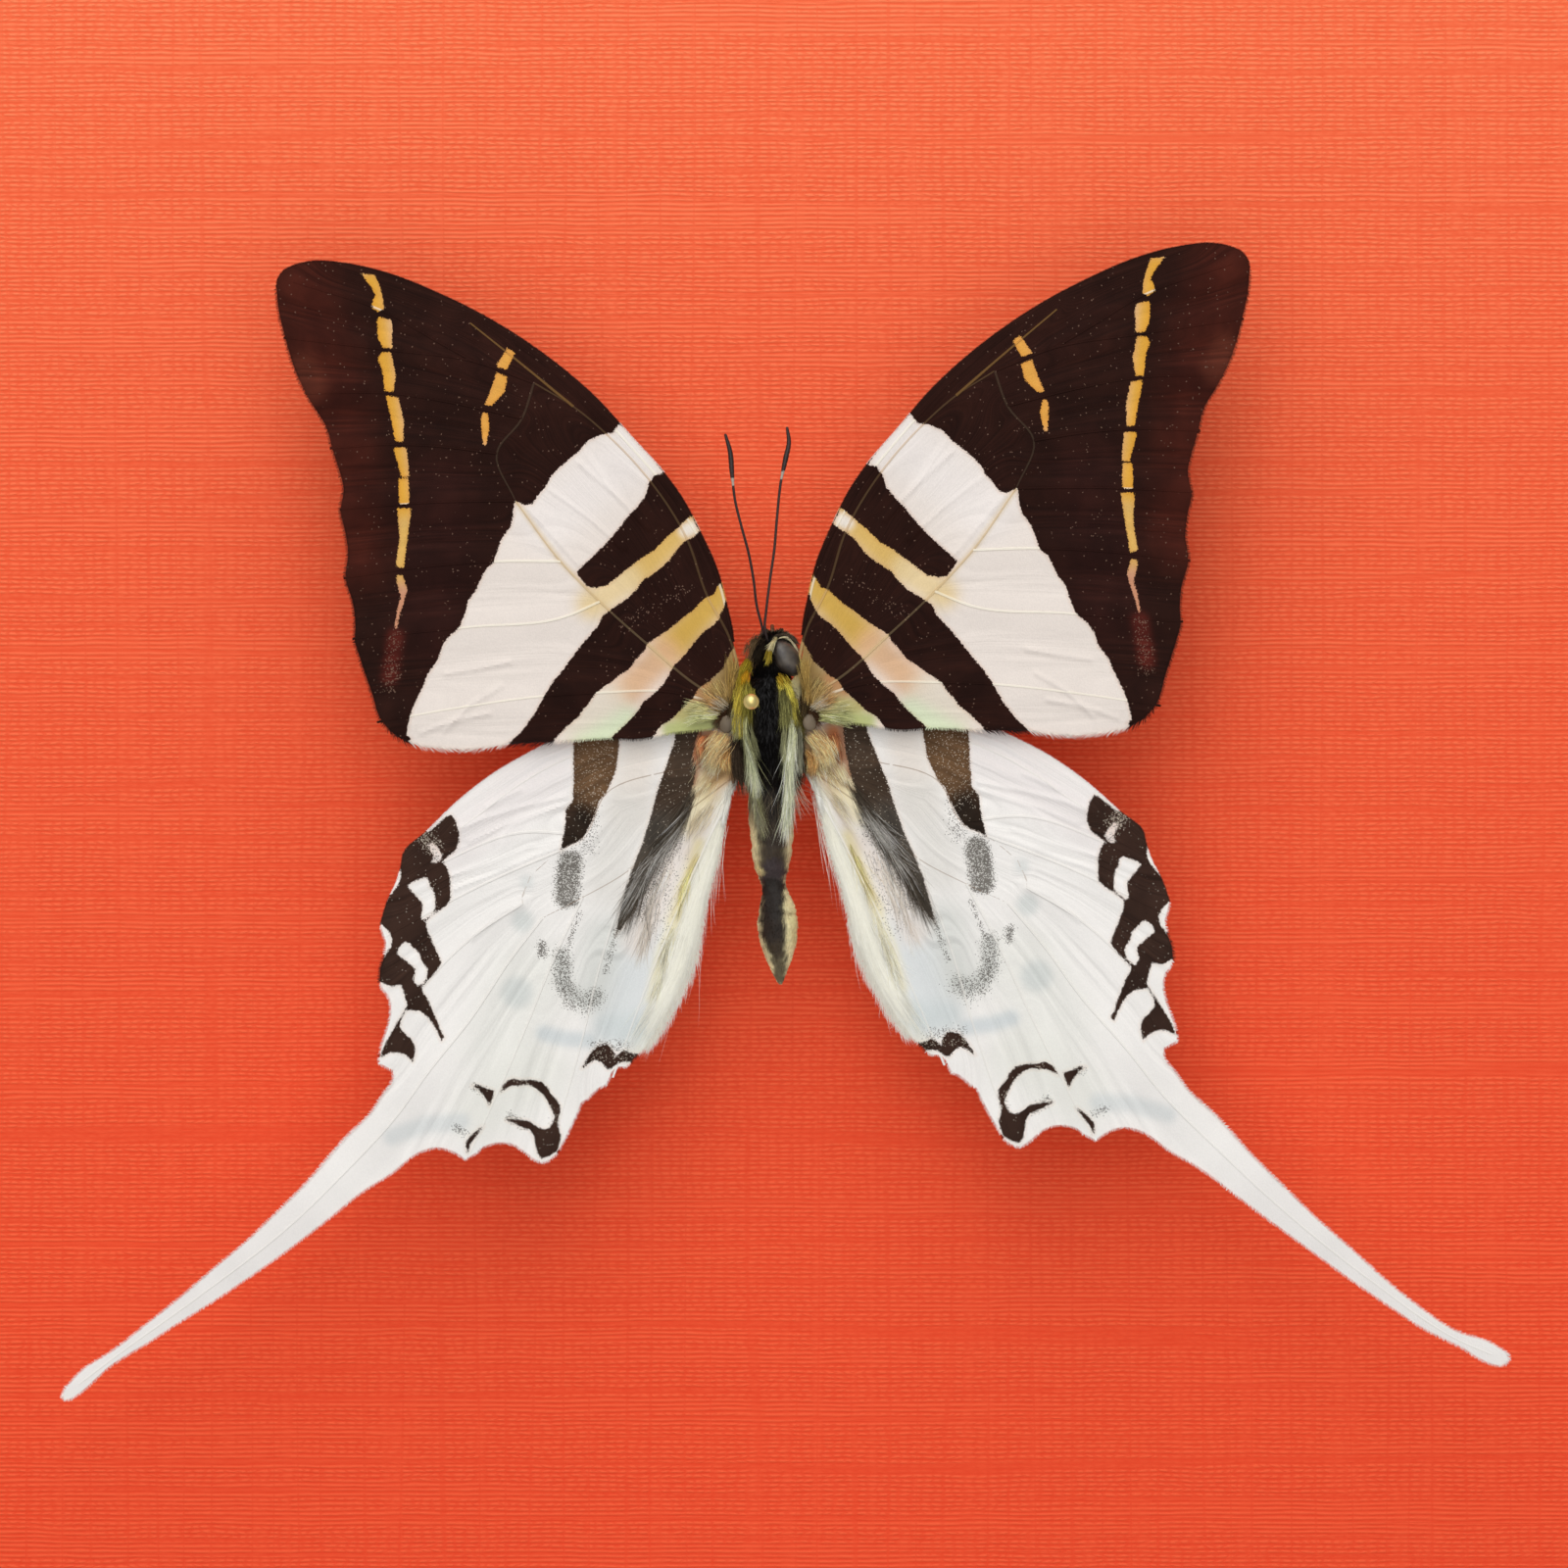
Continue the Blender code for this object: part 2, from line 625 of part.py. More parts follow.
def wing_place(wing, side, point):
    # A photo point of the left wing, on the left (-1) or mirrored and turned to the right (1)
    out = (wing["left_root"][0] - point[0]) * PIXEL
    ahead = (wing["left_root"][1] - point[1]) * PIXEL
    if side < 0:
        root = place(*wing["left_root"])
        return Vector((root.x - out, root.y + ahead))
    root = place(*wing["right_root"])
    turn = math.radians(wing["right_turn"])
    x = root.x + out * math.cos(turn) - ahead * math.sin(turn)
    y = root.y + out * math.sin(turn) + ahead * math.cos(turn)
    if "right_tail_sag" in wing:
        share = min(max((out / PIXEL - wing["tail_root"]) / wing["tail_length"], 0.0), 1.0)
        y -= wing["right_tail_sag"] * math.sin(math.pi * share**2.6)
    return Vector((x, y))


def nearest(point, lines):
    # The distance from a point to the nearest of several lines
    best = 1000.0
    for line in lines:
        for start, end in zip(line, line[1:]):
            span = end - start
            share = max(0.0, min(1.0, (point - start).dot(span) / max(span.length_squared, 1e-9)))
            best = min(best, (point - start - span * share).length)
    return best


def inside(point, outline):
    hit = False
    for start, end in zip(outline, outline[1:] + outline[:1]):
        if (start.y > point.y) != (end.y > point.y):
            if point.x < start.x + (end.x - start.x) * (point.y - start.y) / (end.y - start.y):
                hit = not hit
    return hit


def beside(line, distance):
    # The same line, moved sideways
    moved = []
    for i, point in enumerate(line):
        along = (line[min(i + 1, len(line) - 1)] - line[max(i - 1, 0)]).normalized()
        moved.append(point + Vector((-along.y, along.x)) * distance)
    return moved


def wing_sheet(name, outline, veins, drop):
    # A membrane with raised veins, of one thickness pattern on both faces
    border = outline + outline[:1]
    points = list(outline)
    edges = []
    for vein in veins:
        for distance in (0.0, FLANK, -FLANK):
            line = [p for p in beside(vein, distance) if inside(p, outline)]
            line = [p for p in line if nearest(p, [border]) > VEIN_END]
            first = len(points)
            points += line
            edges += [(first + i, first + i + 1) for i in range(len(line) - 1)]
    result = delaunay_2d_cdt(points, edges, [list(range(len(outline)))], 1, 0.02)
    builder = bmesh.new()
    layer = builder.verts.layers.deform.verify()
    for flat in result[0]:
        vertex = builder.verts.new((flat.x, flat.y, wing_level(flat.x, flat.y, drop)))
        share = max(0.0, 1.0 - nearest(flat, veins) / FLANK)
        vertex[layer][0] = (MEMBRANE + (VEIN - MEMBRANE) * share) / VEIN
    builder.verts.ensure_lookup_table()
    for face in result[2]:
        builder.faces.new([builder.verts[i] for i in face])
    sheet = mesh_object(name, builder)
    sheet.vertex_groups.new(name="thickness")
    solid = sheet.modifiers.new("thickness", "SOLIDIFY")
    solid.thickness = VEIN * MM
    solid.offset = 0.0
    solid.vertex_group = "thickness"
    return bake(sheet)


def vein_line(wing, side, route):
    return smooth_path([wing_place(wing, side, p) for p in route], VEIN_SPACING)


def vein_lines(wing, side):
    return [vein_line(wing, side, route) for route in wing["veins"].values()]


def run(wing, side, name):
    return smooth_path([wing_place(wing, side, p) for p in wing[name]], MARGIN_SPACING)


def fold_locks(side):
    # Hair that leans out and back from the hindwing's inner margin
    margin = run(HINDWING, side, "rear")
    first = wing_place(HINDWING, side, FOLD_FIRST)
    last = wing_place(HINDWING, side, FOLD_LAST)
    stretch = [point for point in margin if first.y <= point.y <= last.y]
    locks = []
    for i in range(FOLD_LOCKS):
        share = (i + 0.5) / FOLD_LOCKS * (len(stretch) - 1)
        k = int(share)
        spot = stretch[k].lerp(stretch[k + 1], share - k)
        back = (stretch[k] - stretch[k + 1]).normalized()
        out = Vector((back.y, -back.x)) * -side
        splay = math.radians(FOLD_LOCK_SPLAY + rng.uniform(-FOLD_SPLAY_SPREAD, FOLD_SPLAY_SPREAD))
        heading = back * math.cos(splay) + out * math.sin(splay)
        length = FOLD_LOCK_LENGTH * rng.uniform(0.85, 1.15)
        root = spot - out * FOLD_ROOT_DEPTH
        path = []
        for step in FOLD_STEPS:
            flat = root + heading * length * step
            path.append(Vector((flat.x, flat.y, wing_level(flat.x, flat.y, HINDWING["drop"]))))
        sizes = tapered(FOLD_LOCK_WIDTH, FOLD_LOCK_THICKNESS)
        locks.append(lock("fold_hair", path, *sizes, Vector((0, 0, 1))))
    return locks


def make_forewing(name, side):
    outline = run(FOREWING, side, "front")[:-1] + run(FOREWING, side, "rear")
    sheet = wing_sheet(name, outline, vein_lines(FOREWING, side), FOREWING["drop"])
    finish_node(cut(sheet, thorax_guard, *eye_guards), name, "forewing")


def make_hindwing(name, side):
    outline = run(HINDWING, side, "front") + run(HINDWING, side, "rear")
    sheet = wing_sheet(name, outline, vein_lines(HINDWING, side), HINDWING["drop"])
    join(sheet, fold_locks(side))
    finish_node(cut(sheet, thorax_guard, abdomen_guard), name, "hindwing")


def make_tail(name, side):
    # The tail meets its wing along a straight line, a gap away
    outline = run(HINDWING, side, "tail")
    across = (outline[-1] - outline[0]).normalized()
    outward = Vector((across.y, -across.x))
    if outward.dot(outline[len(outline) // 2] - outline[0]) < 0:
        outward.negate()
    outline[0] += outward * GAP
    outline[-1] += outward * GAP
    sheet = wing_sheet(name, outline, [vein_line(HINDWING, side, HINDWING["tail_vein"])], HINDWING["drop"])
    finish_node(sheet, name, "hindwing")


thorax_guard = thorax_shape(GAP)
head_guard = head_shape(GAP)
abdomen_guard = abdomen_shape(GAP)
eye_guards = [eye_shape(1, GAP), eye_shape(-1, GAP)]

make_board()
make_pin()
make_thorax()
make_head()
make_abdomen()
make_antenna("antenna_left", ANTENNA_LEFT)
make_antenna("antenna_right", ANTENNA_RIGHT)
make_proboscis()
for side, side_name in ((-1, "left"), (1, "right")):
    make_palp("palp_" + side_name, side)
    make_leg("leg_fore_" + side_name, side, LEG_FORE)
    make_leg("leg_mid_" + side_name, side, LEG_MID)
    make_leg("leg_hind_" + side_name, side, LEG_HIND)
    make_forewing("forewing_" + side_name, side)
    make_hindwing("hindwing_" + side_name, side)
    make_tail("hindwing_tail_" + side_name, side)
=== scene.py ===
import math

import bpy
import numpy as np
from mathutils import Matrix, Vector


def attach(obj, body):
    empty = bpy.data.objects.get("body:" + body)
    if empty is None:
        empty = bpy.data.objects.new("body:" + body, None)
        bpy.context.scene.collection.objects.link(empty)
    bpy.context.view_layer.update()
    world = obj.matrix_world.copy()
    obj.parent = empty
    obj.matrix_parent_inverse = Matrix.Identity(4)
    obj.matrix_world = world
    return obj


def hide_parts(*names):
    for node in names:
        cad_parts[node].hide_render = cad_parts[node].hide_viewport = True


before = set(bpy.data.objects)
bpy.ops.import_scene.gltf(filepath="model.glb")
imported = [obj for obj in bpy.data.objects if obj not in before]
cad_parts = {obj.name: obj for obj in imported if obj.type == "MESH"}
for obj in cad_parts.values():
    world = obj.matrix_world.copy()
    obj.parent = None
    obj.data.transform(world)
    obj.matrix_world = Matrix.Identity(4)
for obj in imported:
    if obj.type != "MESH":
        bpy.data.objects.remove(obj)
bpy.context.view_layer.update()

# The insect is modelled in millimetres, and every finished piece is scaled once to metres.
# Places on it are read in a 1600 pixel frame: the forewing's length gives the millimetres.
reading = {
    "forewingLength": 57.0,
    "forewingPixels": 617.0,
    "middle": 800.0,
    "bodyLine": 785.5,
    "seed": 5,
}
pixel = reading["forewingLength"] / reading["forewingPixels"]
rng = np.random.default_rng(reading["seed"])


# Small helpers

def place(px, py, level=0.0):
    return Vector(((px - reading["middle"]) * pixel, (reading["middle"] - py) * pixel, level))


def linear(colour):
    # an 8 bit screen colour as linear light
    c = np.asarray(colour, dtype=float) / 255.0
    return np.where(c <= 0.04045, c / 12.92, ((c + 0.055) / 1.055) ** 2.4)


def rgba(colour):
    return (*linear(colour), 1.0)


def smoothPath(points, spacing):
    # a smooth curve through the points, with every point among its samples
    points = np.asarray(points, dtype=float)
    gaps = np.maximum(np.linalg.norm(np.diff(points, axis=0), axis=1), 1e-9)
    slopes = np.empty_like(points)
    chords = np.diff(points, axis=0) / gaps[:, None]
    slopes[0], slopes[-1] = chords[0], chords[-1]
    back, ahead = gaps[:-1, None], gaps[1:, None]
    slopes[1:-1] = (chords[:-1] * ahead + chords[1:] * back) / (back + ahead)
    path = []
    for i, gap in enumerate(gaps):
        steps = max(1, round(gap / spacing))
        t = (np.arange(steps) / steps)[:, None]
        path.append(
            points[i] * (2 * t**3 - 3 * t**2 + 1) + points[i + 1] * (3 * t**2 - 2 * t**3)
            + slopes[i] * gap * (t**3 - 2 * t**2 + t) + slopes[i + 1] * gap * (t**3 - t**2)
        )
    path.append(points[-1:])
    return np.vstack(path)


def lineDistance(spots, line):
    # distance from each spot to a polyline, and how far along the line its nearest point lies
    line = np.asarray(line, dtype=float)
    best = np.full(len(spots), 1e9)
    along = np.zeros(len(spots))
    if len(line) == 1:
        return np.linalg.norm(spots - line[0], axis=1), along
    walked = 0.0
    for a, b in zip(line, line[1:]):
        span = b - a
        length = np.linalg.norm(span)
        share = np.clip(((spots - a) @ span) / max(length**2, 1e-9), 0.0, 1.0)
        gap = np.linalg.norm(spots - a - share[:, None] * span, axis=1)
        near = gap < best
        best[near] = gap[near]
        along[near] = walked + share[near] * length
        walked += length
    return best, along / max(walked, 1e-9)


def depthInside(spots, ring):
    # distance to the ring's edge, positive inside it
    ring = np.asarray(ring, dtype=float)
    closed = np.vstack([ring, ring[:1]])
    gap = lineDistance(spots, closed)[0]
    hit = np.zeros(len(spots), dtype=bool)
    x, y = spots[:, 0], spots[:, 1]
    for (ax, ay), (bx, by) in zip(closed, closed[1:]):
        if ay == by:
            continue
        crosses = (ay > y) != (by > y)
        hit ^= crosses & (x < ax + (bx - ax) * (y - ay) / (by - ay))
    return np.where(hit, gap, -gap)


def dusting(reach, strength, *at, edge=3, tone=None):
    # a soft patch along the line through its places, with a sharper rim where edge is higher
    return {"at": at, "reach": reach, "strength": strength, "edge": edge, "tone": tone}


def tinted(tone, reach, strength, *at, edge=3):
    # such a patch with a colour, for paintWashes
    return dusting(reach, strength, *at, edge=edge, tone=tone)


def washWeight(spots, wash):
    gap = lineDistance(spots, wash["at"])[0]
    return wash["strength"] * np.exp(-((gap / wash["reach"]) ** wash["edge"]))


def paintWashes(spots, ground, washes):
    # the ground colour, with each wash laid over the ones before it
    tones = np.tile(linear(ground), (len(spots), 1))
    for wash in washes:
        weight = washWeight(spots, wash)[:, None]
        tones = tones * (1 - weight) + linear(wash["tone"]) * weight
    return tones


def deselectAll():
    if bpy.context.object and bpy.context.object.mode != "OBJECT":
        bpy.ops.object.mode_set(mode="OBJECT")
    bpy.ops.object.select_all(action="DESELECT")


def choose(*pieces):
    deselectAll()
    for piece in pieces:
        piece.select_set(True)
    bpy.context.view_layer.objects.active = pieces[0]


def applyModifier(piece, kind, **settings):
    choose(piece)
    modifier = piece.modifiers.new(kind.lower(), kind)
    for name, value in settings.items():
        setattr(modifier, name, value)
    bpy.ops.object.modifier_apply(modifier=modifier.name)


def joinPieces(pieces):
    choose(*pieces)
    bpy.ops.object.join()
    return bpy.context.object


def coordinates(mesh):
    found = np.empty(len(mesh.vertices) * 3)
    mesh.vertices.foreach_get("co", found)
    return found.reshape(-1, 3)


def setCoordinates(mesh, spots):
    mesh.vertices.foreach_set("co", np.ascontiguousarray(spots, dtype=np.float32).ravel())
    mesh.update()


def addValues(mesh, name, values):
    layer = mesh.attributes.new(name, "FLOAT", "POINT")
    layer.data.foreach_set("value", np.ascontiguousarray(values, dtype=np.float32))


def addColours(mesh, name, colours):
    layer = mesh.attributes.new(name, "FLOAT_COLOR", "POINT")
    full = np.hstack([colours, np.ones((len(colours), 1))])
    layer.data.foreach_set("color", np.ascontiguousarray(full, dtype=np.float32).ravel())


def finishPiece(piece, name, material, slot, *nodes, smoothAngle=40.0):
    # scales a piece to metres, with its place in its mesh, and hangs it on the frame
    choose(piece)
    bpy.ops.object.transform_apply(location=True, rotation=True, scale=True)
    piece.data.transform(Matrix.Scale(0.001, 4))
    piece.name = name
    piece.data.name = name
    piece.data.materials.clear()
    piece.data.materials.append(material)
    bpy.ops.object.shade_smooth_by_angle(angle=math.radians(smoothAngle))
    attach(piece, "root")
    if nodes:
        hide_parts(*nodes)
    return piece


# Material helpers

def addNode(tree, kind, inputs=None, **settings):
    made = tree.nodes.new(kind)
    for name, value in settings.items():
        setattr(made, name, value)
    for name, value in (inputs or {}).items():
        if isinstance(value, bpy.types.NodeSocket):
            tree.links.new(value, made.inputs[name])
        else:
            made.inputs[name].default_value = value
    return made


def sums(tree, operation, first, second=0.0, third=0.0):
    return addNode(tree, "ShaderNodeMath", {0: first, 1: second, 2: third}, operation=operation).outputs[0]


def blend(tree, share, first, second, kind="MIX"):
    inputs = {0: share, 6: first, 7: second}
    return addNode(tree, "ShaderNodeMix", inputs, data_type="RGBA", blend_type=kind).outputs[2]


def grey(tree, value):
    return addNode(tree, "ShaderNodeCombineColor", {0: value, 1: value, 2: value}).outputs[0]


def setBump(tree, shader, height, strength, distance):
    bump = addNode(tree, "ShaderNodeBump", {"Height": height, "Strength": strength, "Distance": distance})
    tree.links.new(bump.outputs[0], shader.inputs["Normal"])
    return bump


def span(tree, value, low, high, toLow=0.0, toHigh=1.0):
    inputs = {"Value": value, "From Min": low, "From Max": high, "To Min": toLow, "To Max": toHigh}
    return addNode(tree, "ShaderNodeMapRange", inputs).outputs[0]


def readAttribute(tree, name, output="Fac"):
    return addNode(tree, "ShaderNodeAttribute", attribute_name=name).outputs[output]


def noise(tree, coords, scale, detail, roughness=0.5):
    inputs = {"Vector": coords, "Scale": scale, "Detail": detail, "Roughness": roughness}
    return addNode(tree, "ShaderNodeTexNoise", inputs).outputs["Fac"]


def objectCoords(tree, scale=(1.0, 1.0, 1.0)):
    here = addNode(tree, "ShaderNodeTexCoord").outputs["Object"]
    return addNode(tree, "ShaderNodeMapping", {"Vector": here, "Scale": scale}).outputs[0]


def newMaterial(name, **values):
    material = bpy.data.materials.new(name)
    material.use_nodes = True
    tree = material.node_tree
    shader = tree.nodes["Principled BSDF"]
    for key, value in values.items():
        shader.inputs[key].default_value = value
    return material, tree, shader


def newGroup(name, inputs, outputs):
    group = bpy.data.node_groups.new(name, "ShaderNodeTree")
    for label, kind, value in inputs:
        socket = group.interface.new_socket(name=label, in_out="INPUT", socket_type=kind)
        if value is not None:
            socket.default_value = value
    for label, kind in outputs:
        group.interface.new_socket(name=label, in_out="OUTPUT", socket_type=kind)
    start = group.nodes.new("NodeGroupInput")
    end = group.nodes.new("NodeGroupOutput")
    return group, start, end


def useGroup(tree, group, inputs):
    made = tree.nodes.new("ShaderNodeGroup")
    made.node_tree = group
    for name, value in inputs.items():
        if isinstance(value, bpy.types.NodeSocket):
            tree.links.new(value, made.inputs[name])
        else:
            made.inputs[name].default_value = value
    return made


def makeScaleGrain():
    # fine grain of insect scales: a value that varies from scale to scale, and its height
    group, start, end = newGroup(
        "scaleGrain",
        [("Scales per Metre", "NodeSocketFloat", 9000.0), ("Stretch", "NodeSocketFloat", 0.6)],
        [("Grain", "NodeSocketFloat"), ("Patch", "NodeSocketFloat")],
    )
    here = addNode(group, "ShaderNodeTexCoord").outputs["Object"]
    stretch = addNode(group, "ShaderNodeCombineXYZ", {0: 1.0, 1: start.outputs["Stretch"], 2: 1.0}).outputs[0]
    coords = addNode(group, "ShaderNodeVectorMath", {0: here, 1: stretch}, operation="MULTIPLY").outputs[0]
    fine = noise(group, coords, start.outputs["Scales per Metre"], 2.0)
    wide = noise(group, coords, 420.0, 3.0)
    group.links.new(fine, end.inputs["Grain"])
    group.links.new(wide, end.inputs["Patch"])
    return group


scaleGrain = makeScaleGrain()
print("helpers and shared node group ready")


# Wings: their shape

wingSheet = {
    "level": 29.5, "rise": 0.05, "sag": 0.0004, "tailDroop": 0.0002,
    "cell": 0.21, "thickness": 0.12, "fringe": 0.28,
    "veinRoot": 0.17, "veinTip": 0.11, "pleat": 0.2, "pleatReach": 2.2,
    "foldHeight": 0.16, "foldWidth": 2.4,
    # waves to each space between veins with their height, and how they wander and fade
    "waves": [(2.0, 0.085), (4.5, 0.045)], "narrowest": 4.0, "widest": 11.0,
    "sway": 0.22, "swayLength": 37.0, "beat": 0.35, "beatLength": 23.0,
}

forewing = {
    "drop": 0.0,
    "leftRoot": (745.0, 690.0), "rightRoot": (823.0, 683.0), "rightTurn": 1.54,
    "tailRoot": None,
    "runs": [
        [
            (768, 708), (757, 690), (751, 672), (751, 645), (745, 617), (735, 580), (717, 540), (700, 508),
            (680, 480), (650, 447), (610, 403), (560, 361), (500, 322), (450, 297), (400, 277), (350, 265.5),
            (322, 263.5), (300, 268), (288, 274), (281, 284), (279.3, 292),
        ],
        [
            (279.3, 292), (282, 318), (288, 343), (300, 382), (315, 412), (331, 438), (337, 460), (344, 482),
            (348, 498), (345, 523), (350, 545), (352.5, 565), (350, 590), (358, 618), (360, 640),
            (359.5, 655), (364, 670), (376, 705), (388, 738), (399, 750), (412, 758), (430, 763.5),
            (450, 766), (480, 767), (520, 762), (575, 759), (622, 756), (650, 757), (690, 750), (735, 744),
            (770, 730),
        ],
    ],
    "veins": {
        "subcosta": [(748, 655), (732, 590), (694, 518), (640, 452), (575, 388), (525, 350)],
        "radius": [(757, 700), (744, 650), (722, 609), (700, 548), (665, 493), (622, 446), (585, 415),
                   (545, 391)],
        "radius1": [(585, 415), (540, 378), (480, 330)],
        "radius4": [(483, 369), (440, 345), (400, 322), (300, 288)],
        "radius5": [(545, 391), (483, 369), (400, 358), (290, 345)],
        "cellEnd": [(545, 391), (533, 427), (507, 463), (526, 511)],
        "media1": [(533, 427), (470, 413), (400, 402), (312, 402)],
        "media2": [(507, 463), (450, 456), (400, 454), (337, 458)],
        "media3": [(526, 511), (440, 513), (347, 520)],
        "cubitus": [(757, 722), (720, 705), (660, 657), (612, 614), (572, 573), (526, 511)],
        "cubitus1": [(572, 573), (510, 573), (440, 578), (351, 590)],
        "cubitus2": [(612, 614), (578, 629), (480, 640), (360, 652)],
        "anal": [(757, 728), (690, 707), (610, 707), (560, 710), (470, 722), (385, 737)],
    },
    "edges": {
        "front": [(757, 690), (751, 645), (735, 580), (700, 508), (650, 447), (560, 361), (450, 297),
                  (350, 266)],
        "rear": [(412, 758), (520, 762), (650, 757), (735, 744), (770, 730)],
    },
    "levels": {
        "front": (-1, -1), "subcosta": (0, 0), "radius": (0.5, 2.5), "radius1": (2.2, 1.5),
        "radius4": (2.7, 2.2, 2.2), "radius5": (2.5, 3.2), "media1": (4, 4), "media2": (5, 5),
        "media3": (6, 6), "cubitus": (9, 8.3, 7.2, 6), "cubitus1": (7, 7), "cubitus2": (8, 8),
        "anal": (9, 9.5), "rear": (10.5, 10.5),
    },
    "folds": [
        [(559, 499), (600, 528), (637, 560)], [(590, 472), (628, 505), (662, 540)],
        [(538, 518), (565, 548), (591, 577)], [(520, 676), (487, 683), (455, 688)],
        [(512, 700), (480, 720), (454, 746)], [(500, 728), (462, 736), (430, 748)],
    ],
    "waveTimes": 0.4,
    "roll": None,
    # how far each rib takes its own tone over pale and over dark scales
    "ribLooks": {
        "radius1": ((150, 112, 62), 0.3, 0.45), "cubitus": ((206, 178, 132), 0.6, 0.13),
        "radius": ((196, 160, 110), 0.5, 0.1), "cellEnd": ((208, 188, 152), 0.5, 0.04),
    },
    "ribTone": (250, 244, 222),
}

hindwing = {
    "drop": 1.4,
    "leftRoot": (745.0, 790.0), "rightRoot": (830.1, 783.2), "rightTurn": 2.6,
    "tailRoot": 335.0, "tailLength": 348.0, "rightTailSag": 1.7,
    "runs": [
        [
            (772, 762), (768, 738), (742, 722), (700, 713), (650, 716), (600, 733), (546, 761), (501, 787),
            (465, 815), (435, 844), (408, 871), (406, 882), (402, 897), (391, 921), (385, 942),
        ],
        [(385, 942), (388, 953), (391, 962), (389, 975), (385, 988), (384, 1001)],
        [
            (384, 1001), (388, 1011), (393, 1017), (396, 1031), (394, 1044), (390, 1057), (386, 1070),
            (384, 1080),
        ],
        [
            (384, 1080), (385, 1087), (392, 1091), (398, 1094), (397, 1104), (390, 1113), (377, 1133),
            (350, 1160), (310, 1206), (279, 1237), (250, 1265), (214, 1295), (179, 1325), (150, 1348),
            (110, 1379), (83, 1396), (71, 1408), (62, 1419), (60, 1426), (64, 1431), (70, 1431), (81, 1425),
            (94, 1414), (110, 1399), (126, 1388), (151, 1373), (180, 1354), (214, 1333), (250, 1309),
            (290, 1281), (335, 1247), (370, 1219), (400, 1200), (430, 1178), (446, 1174), (461, 1178),
            (474, 1186),
        ],
        [
            (474, 1186), (487, 1179), (494, 1173), (502, 1170), (525, 1172), (532, 1177), (546, 1187),
            (552, 1189), (568, 1181), (576, 1168), (586, 1148), (592, 1135), (595, 1127), (601, 1123),
            (606, 1118), (612, 1113), (620, 1109), (623, 1103), (626, 1096), (630, 1092), (639, 1091),
            (650, 1081), (662, 1069), (675, 1050), (688, 1027), (700, 1003), (712, 970), (717, 945),
            (724, 913), (734, 873), (742, 835), (751, 800), (772, 790),
        ],
    ],
    "veins": {
        "costa": [(750, 748), (690, 740), (620, 757), (555, 785), (470, 845)],
        "cellFront": [(752, 780), (677, 788), (619, 809), (594, 855), (571, 868), (541, 894)],
        "cellEnd": [(541, 894), (533, 922), (553, 937)],
        "cellRear": [(752, 790), (689, 839), (643, 887), (594, 916), (553, 937)],
        "radius": [(594, 852), (530, 850), (452, 880), (408, 904)],
        "media1": [(571, 868), (500, 899), (440, 930), (393, 956)],
        "media2": [(533, 922), (490, 950), (440, 997), (410, 1037), (391, 1076)],
        "media3": [(553, 937), (520, 980), (480, 1040), (440, 1090), (402, 1142), (350, 1198), (300, 1247),
                   (200, 1325), (110, 1390), (80, 1413)],
        "cubitus1": [(594, 916), (560, 990), (540, 1040), (510, 1110), (479, 1178)],
        "cubitus2": [(643, 887), (612, 985), (594, 1060), (560, 1180)],
        "anal": [(752, 796), (712, 880), (668, 985), (625, 1100)],
    },
    "edges": {
        "front": [(742, 722), (650, 716), (546, 761), (465, 815), (408, 871)],
        "inner": [(650, 1081), (700, 1003), (724, 913), (742, 835), (751, 800)],
    },
    "levels": {
        "front": (-1, -1), "costa": (0, 0), "cellFront": (1, 3), "radius": (2.5, 2, 2), "media1": (2.7, 3, 3),
        "media2": (4, 4), "media3": (5, 5), "cellRear": (6, 5), "cubitus1": (5.2, 6, 6),
        "cubitus2": (5.4, 7, 7, 7), "anal": (8, 8), "inner": (9.5, 9.5),
    },
    "folds": [
        [(577, 813), (531, 824), (489, 837), (469, 846)], [(575, 822), (544, 832), (513, 843), (478, 859)],
        [(573, 864), (544, 874), (504, 892), (463, 907)], [(531, 806), (513, 815), (496, 824)],
        [(544, 863), (513, 876), (462, 894)], [(531, 923), (513, 931), (496, 945), (482, 958)],
    ],
    "waveTimes": 1.0,
    # the silky roll along the inner margin, with its width in pixels at each photo y
    "roll": {
        "height": 0.5,
        "margin": [(662, 1069), (675, 1050), (688, 1027), (700, 1003), (712, 970), (717, 945), (724, 913),
                   (734, 873), (742, 835), (751, 800)],
        "widths": ([800, 850, 900, 960, 1030, 1080], [3, 5, 14, 25, 21, 8]),
    },
    "ribLooks": {
        "cellFront": ((136, 104, 74), 0.5, 0.1), "cellRear": ((140, 110, 80), 0.5, 0.1),
        "cellEnd": ((160, 136, 108), 0.35, 0.1),
    },
    "ribWidths": {"cellFront": 0.6, "cellRear": 0.6, "cellEnd": 0.45},
    "ribTone": (238, 234, 226),
}


def wingLevel(spots, drop):
    out = np.abs(spots[:, 0] - place(reading["bodyLine"], 0).x)
    sag = wingSheet["tailDroop"] * np.minimum(spots[:, 1], 0.0) ** 2
    return wingSheet["level"] - drop + wingSheet["rise"] * out - wingSheet["sag"] * out**2 - sag


def tailSag(wing, out):
    # the right tail hangs a little lower than the mirrored left one
    if wing["tailRoot"] is None:
        return 0.0
    share = np.clip((out / pixel - wing["tailRoot"]) / wing["tailLength"], 0.0, 1.0)
    return wing["rightTailSag"] * np.sin(math.pi * share**2.6)


